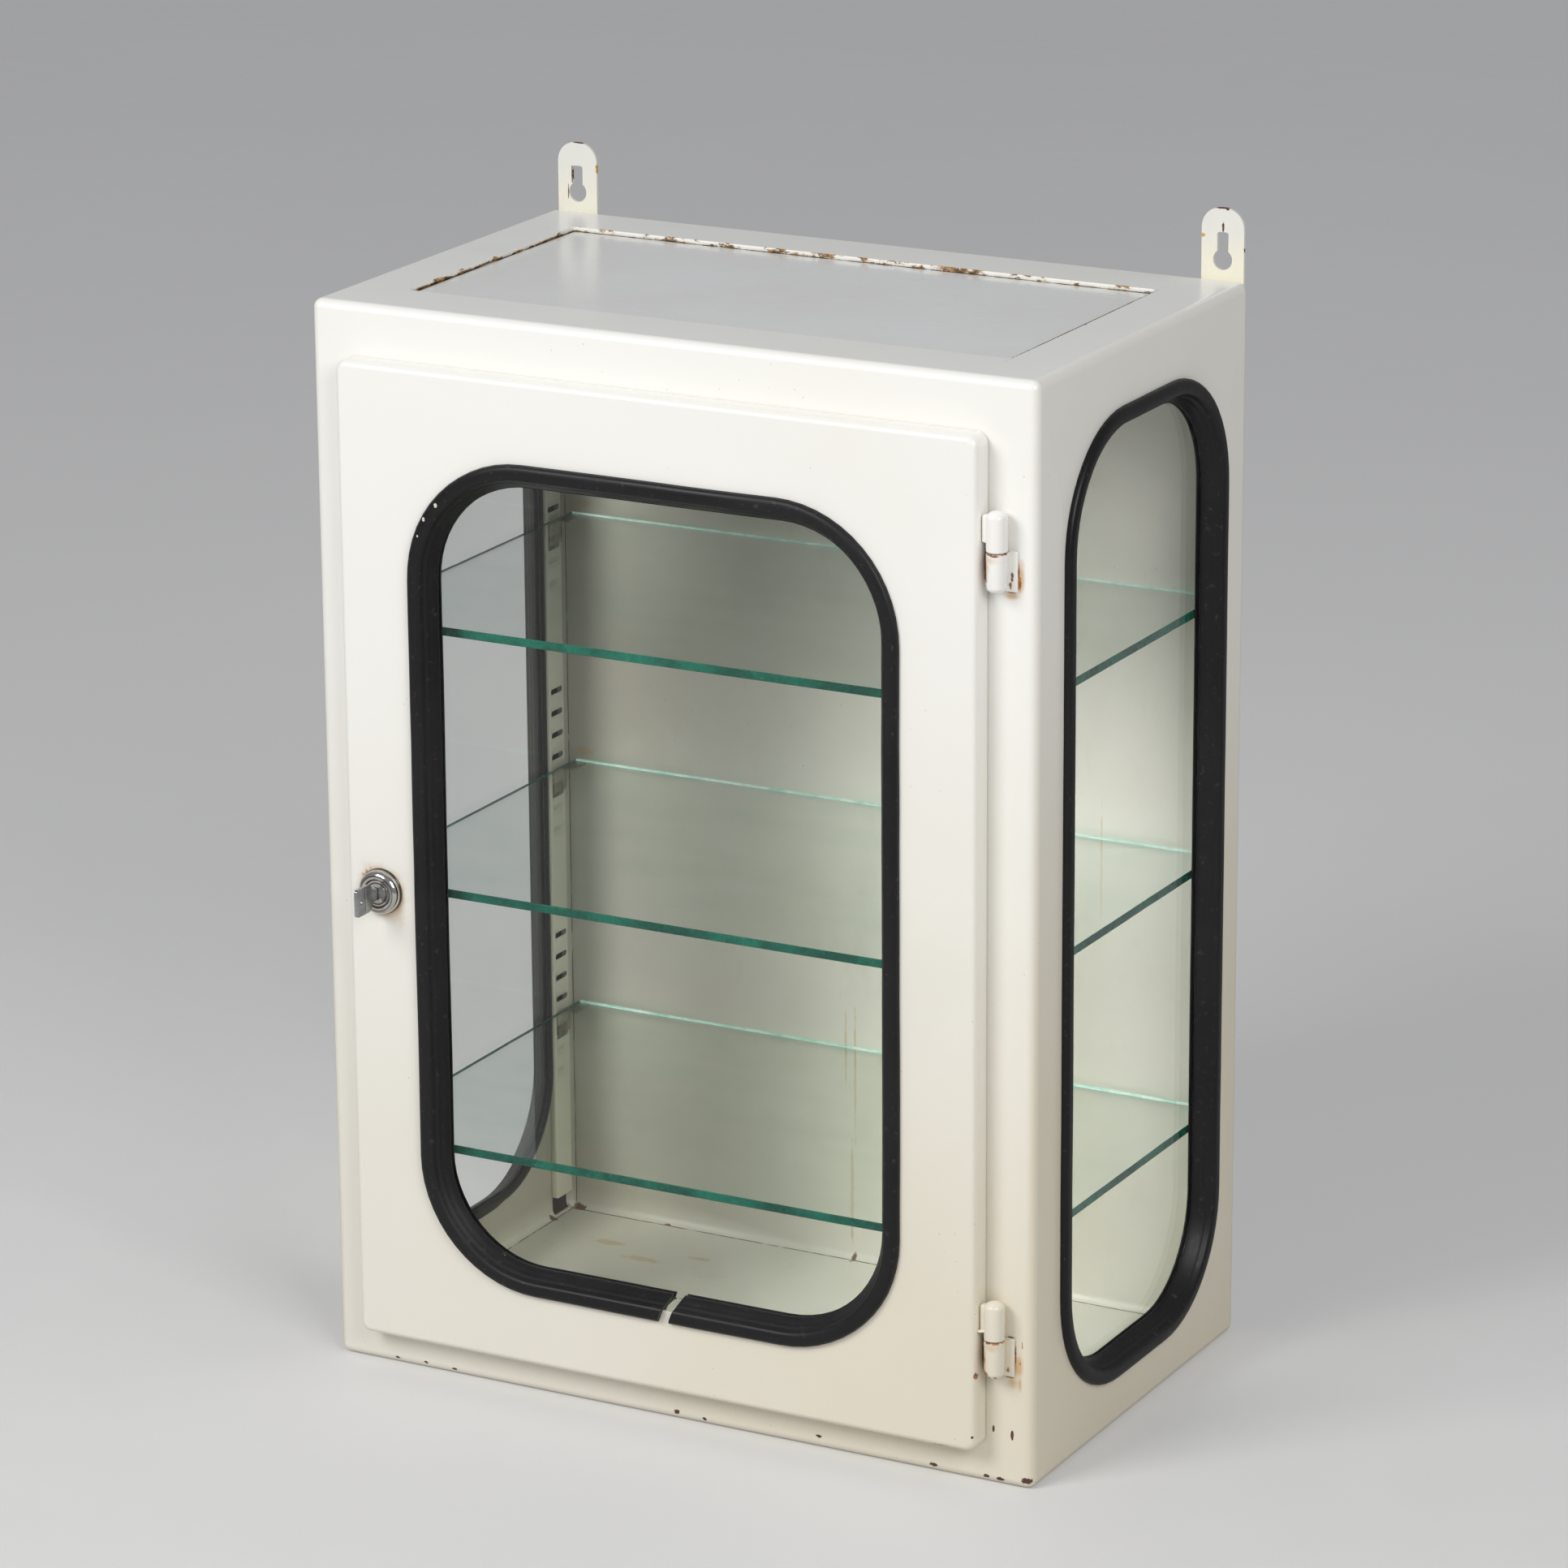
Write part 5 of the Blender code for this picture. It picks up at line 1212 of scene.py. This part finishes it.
pane = Finish("clear window glass")
haze = pane.noise(7.0, 5.0, 0.65)
pane.set(Base_Color=pane.mix(pane.step(haze, 0.4, 0.7), shade(254, 255, 254), shade(250, 252, 251)),
         Roughness=pane.step(haze, 0.45, 0.75, 0.0, 0.045),
         Normal=pane.bump(pane.noise(5.0, 1.0), 0.0006, 0.15))
make_clear(pane, PANE_INDEX, PANE_SHADE)
dress([pane.material], *(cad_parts[name]
                         for name in ("side_glass_left", "side_glass_right", "door_glass")))

shelf_face = Finish("faces of the shelf glass")
wipe = shelf_face.noise(16.0, 5.0, 0.7, along=shelf_face.stretched((2.0, 0.8, 1.0)))
wiped_tint = shelf_face.mix(shelf_face.step(wipe, 0.4, 0.7), shade(246, 251, 248), shade(238, 247, 242))
shelf_face.set(Base_Color=wiped_tint,
               Roughness=shelf_face.step(wipe, 0.42, 0.78, 0.0, 0.06),
               Normal=shelf_face.bump(shelf_face.specks(160.0, 0.05, 0.4), 0.0002, 0.4))
make_clear(shelf_face, SHELF_INDEX, SHELF_SHADE)
print("index of the panes and of the shelves:", PANE_INDEX, SHELF_INDEX)

# %% The ground edges of a shelf
GLOW = 0.22
ground = Finish("ground edge of the shelf glass")
grind = ground.noise(420.0, 4.0, 0.7)
depth = ground.noise(30.0, 3.0, 0.6)
edge_tint = ground.mix(ground.step(depth, 0.35, 0.65), shade(4, 62, 50), shade(10, 92, 74))
# Paler grains: partly the grind, partly a painted sparkle.
edge_tint = ground.lay(shade(70, 156, 132), edge_tint, ground.step(grind, 0.60, 0.74), 0.45)
ground.set(Base_Color=edge_tint, Roughness=ground.step(grind, 0.3, 0.7, 0.18, 0.45),
           Normal=ground.bump(grind, 0.0002, 0.6), Specular_IOR_Level=0.14)
# The back edge is a painted glow, a pale tint with a faint emission, though it is no lamp.
lit = Finish("lit back edge of the shelf glass")
uneven = lit.step(lit.noise(60.0, 4.0, 0.7), 0.35, 0.65)
glow = lit.mix(uneven, shade(150, 206, 190), shade(210, 236, 226))
lit.set(Base_Color=glow, Emission_Color=glow, Emission_Strength=GLOW,
        Roughness=lit.step(lit.noise(420.0, 3.0), 0.3, 0.7, 0.2, 0.4),
        Normal=lit.bump(lit.noise(420.0, 4.0, 0.7), 0.0002, 0.6))
for shelf in shelf_names:
    dress([shelf_face.material, ground.material, lit.material], bpy.data.objects[shelf + "_glass"])
print("shelves with three finishes:", len(shelf_names))

# %% [markdown]
# ## Plated metal
#
# The lock is chromed and the key is nickel, while the pins, the nut and the cam are dull zinc and the
# clips have lost much of their plating. The look of a metal lies in its gloss, so one function mixes a
# bright and a dull tone and roughens them with a noise that can be drawn out along the brushing. Grime
# lies in rings round the lock's axis, in the grooves of the cylinder and the steps of the rosette.

# %% Chrome, nickel and zinc
GRIMY_RINGS = ((0.0070, 0.0005), (0.0090, 0.0006), (0.0115, 0.0004), (0.0148, 0.0004))
GRIME = shade(58, 46, 38)


def metal(name, bright, dull, roughness, brushing=(1.0, 1.0, 1.0), scale=300.0, grimy_rings=()):
    finish = Finish(name)
    wear = finish.noise(scale, 4.0, 0.65, along=finish.stretched(brushing))
    tone = finish.mix(finish.step(finish.noise(60.0, 3.0), 0.35, 0.7), bright, dull)
    from_axis = finish.distance((LOCK_X, 0.0, LOCK_Z), (1.0, 1000.0, 1.0))
    for radius, width in grimy_rings:
        ring = finish.step(finish.absolute(finish.minus(from_axis, radius)), width, width * 0.4)
        tone = finish.lay(GRIME, tone, ring, 0.85)
    finish.set(Base_Color=tone, Metallic=1.0,
               Roughness=finish.step(wear, 0.3, 0.75, roughness, roughness + 0.08),
               Normal=finish.bump(wear, 0.00004, 0.35))
    return finish.material


chrome = metal("chrome on the lock", shade(206, 203, 198), shade(172, 166, 158), 0.10,
               grimy_rings=GRIMY_RINGS)
nickel = metal("nickel on the key", shade(186, 190, 194), shade(140, 142, 146), 0.18, (1.0, 0.2, 1.0), 900.0)
zinc = metal("zinc on hidden steel", shade(176, 174, 166), shade(140, 136, 124), 0.32)
clip_plating = metal("worn plating on the clips", shade(186, 182, 168), shade(122, 104, 80), 0.34,
                     scale=700.0)
dress([chrome], bpy.data.objects["lock_rosette"], bpy.data.objects["lock_plug"])
dress([nickel], key_blank)
for name, node_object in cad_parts.items():
    if name.endswith("_hinge_pin") or name in ("lock_nut", "lock_cam", "cam_screw"):
        dress([zinc], node_object)
    if "_clip_" in name:
        dress([clip_plating], node_object)
print("metals:", [plated.name for plated in (chrome, nickel, zinc, clip_plating)])

# %% [markdown]
# ## Paint on the tabs, hinges and pilasters
#
# These parts have the same enamel, so the same recipe makes it with other tones and other marks. The
# tabs are creamier, and chipped round their edges and keyholes. The pilasters are greyer and scuffed all
# over, and the back left one has a brown stain near each shelf.

# %% Paint on the smaller parts
ON_TABS = 0.151
tab_rust = marks_on(ON_TABS, (-0.2166, 0.7285, 0.0018, 0.0036), (-0.2160, 0.7235, 0.0008, 0.0020),
                    (0.2180, 0.7265, 0.0018, 0.0015))
tab_chips = marks_on(
    ON_TABS, (-0.230, 0.7449, 0.005, 0.0005), (0.2300, 0.7449, 0.005, 0.0006),
    (0.2345, 0.7444, 0.0012, 0.0010), (0.2317, 0.7326, 0.0008, 0.0036), (0.2466, 0.719, 0.0008, 0.0018),
    (0.2452, 0.7400, 0.0007, 0.0007), (-0.2356, 0.7235, 0.0004, 0.0068), (-0.2384, 0.7120, 0.0004, 0.0050),
    (-0.2250, 0.6967, 0.008, 0.0005), (0.2350, 0.6967, 0.009, 0.0006))
tab_paint = enamel("cream enamel on the tabs", shade(229, 228, 221), shade(241, 235, 210), tab_chips,
                   tab_rust, age_height=(0.706, 0.736),
                   rust_shades=(shade(190, 132, 48), shade(222, 172, 80)))
dress([tab_paint], bpy.data.objects["wall_tab_left"], bpy.data.objects["wall_tab_right"])
dress([hinge_enamel], *(bpy.data.objects[f"{place}_hinge_{half}_barrel"] for place in ("upper", "lower")
                        for half in ("door", "frame")))
fitting_stains = [((-0.244, 0.134, z), (0.01, 0.008, 0.006)) for z in (0.485, 0.306, 0.136)]
fitting_enamel = enamel("ivory enamel on the pilasters", shade(228, 227, 212), shade(214, 208, 186),
                        stains=fitting_stains, scuff=0.5)
dress([fitting_enamel], *(bpy.data.objects[f"pilaster_{end}_{side}_channel"] for end in ("front", "back")
                          for side in ("left", "right")))
print("materials:", len(bpy.data.materials))

# %% [markdown]
# ## Studio
#
# The cabinet stands on a pale floor in soft light. A broad lamp at the front left gives the front its
# glow, a weaker one at the right keeps the side readable, and the rest comes from a pale sky. The floor
# shines a little for the camera only, also through the glass, which makes it pale but lights nothing. The
# camera stands where the photographer stood: well back, a little above, and to the right of the front.

# %% Floor
FLOOR_HALF = 20.0
FLOOR_GLOW = 0.16
floor_mesh = bmesh.new()
bmesh.ops.create_grid(floor_mesh, x_segments=1, y_segments=1, size=FLOOR_HALF)
floor_data = bpy.data.meshes.new("studio_floor")
floor_mesh.to_mesh(floor_data)
floor_mesh.free()
studio_floor = bpy.data.objects.new("studio_floor", floor_data)
bpy.context.scene.collection.objects.link(studio_floor)
floor_paint = Finish("pale studio floor")
light_path = floor_paint.add("ShaderNodeLightPath", {})
seen = floor_paint.larger(light_path["Is Camera Ray"], light_path["Is Transmission Ray"])
floor_tint = floor_paint.mix(floor_paint.noise(1.5, 3.0), shade(212, 211, 209), shade(206, 205, 202))
floor_paint.set(Base_Color=floor_tint,
                Roughness=floor_paint.step(floor_paint.noise(20.0), 0.3, 0.7, 0.6, 0.75),
                Normal=floor_paint.bump(floor_paint.noise(30.0), 0.0003, 0.2),
                Emission_Strength=floor_paint.times(seen, FLOOR_GLOW), Emission_Color=shade(238, 238, 240))
dress([floor_paint.material], studio_floor)
print("floor in metres across:", 2 * FLOOR_HALF)

# %% Lamps and sky
LAMP_SIZE = 1.4
LAMP_AIM = Vector((0.0, 0.0, 0.4))
SKY_TINT = (0.93, 0.95, 1.0, 1.0)
SKY_STRENGTH = 0.31


def soft_lamp(name, place, watts):
    light = bpy.data.lights.new(name, "AREA")
    light.shape = "RECTANGLE"
    light.size = light.size_y = LAMP_SIZE
    light.energy = watts
    lamp = bpy.data.objects.new(name, light)
    bpy.context.scene.collection.objects.link(lamp)
    lamp.location = place
    lamp.rotation_euler = (LAMP_AIM - Vector(place)).to_track_quat("-Z", "Y").to_euler()


soft_lamp("key lamp", (-1.05, -2.42, 2.18), watts=51.0)
soft_lamp("side lamp", (2.18, -1.71, 2.0), watts=36.0)
sky = bpy.data.worlds.new("soft sky")
bpy.context.scene.world = sky
sky.use_nodes = True
sky.node_tree.nodes["Background"].inputs["Color"].default_value = SKY_TINT
sky.node_tree.nodes["Background"].inputs["Strength"].default_value = SKY_STRENGTH
bpy.context.scene.view_settings.view_transform = "Standard"

# %% Camera
CAMERA_PLACE = (1.8447, -3.4381, 1.5783)
CAMERA_AZIMUTH = math.radians(28.2213)
CAMERA_DIP = math.radians(17.0803)
CAMERA_ROLL = math.radians(-0.3980)
FOCAL_LENGTH = 147.65
SENSOR_WIDTH = 36.0
viewer = bpy.data.cameras.new("camera")
viewer.lens = FOCAL_LENGTH
viewer.sensor_width = SENSOR_WIDTH
viewer.sensor_fit = "HORIZONTAL"
camera = bpy.data.objects.new("camera", viewer)
bpy.context.scene.collection.objects.link(camera)
camera.matrix_world = (Matrix.Translation(CAMERA_PLACE) @ Matrix.Rotation(CAMERA_AZIMUTH, 4, "Z")
                       @ Matrix.Rotation(math.pi / 2 - CAMERA_DIP, 4, "X")
                       @ Matrix.Rotation(CAMERA_ROLL, 4, "Z"))
bpy.context.scene.camera = camera
print("camera at", CAMERA_PLACE, "with a lens of", FOCAL_LENGTH, "mm")
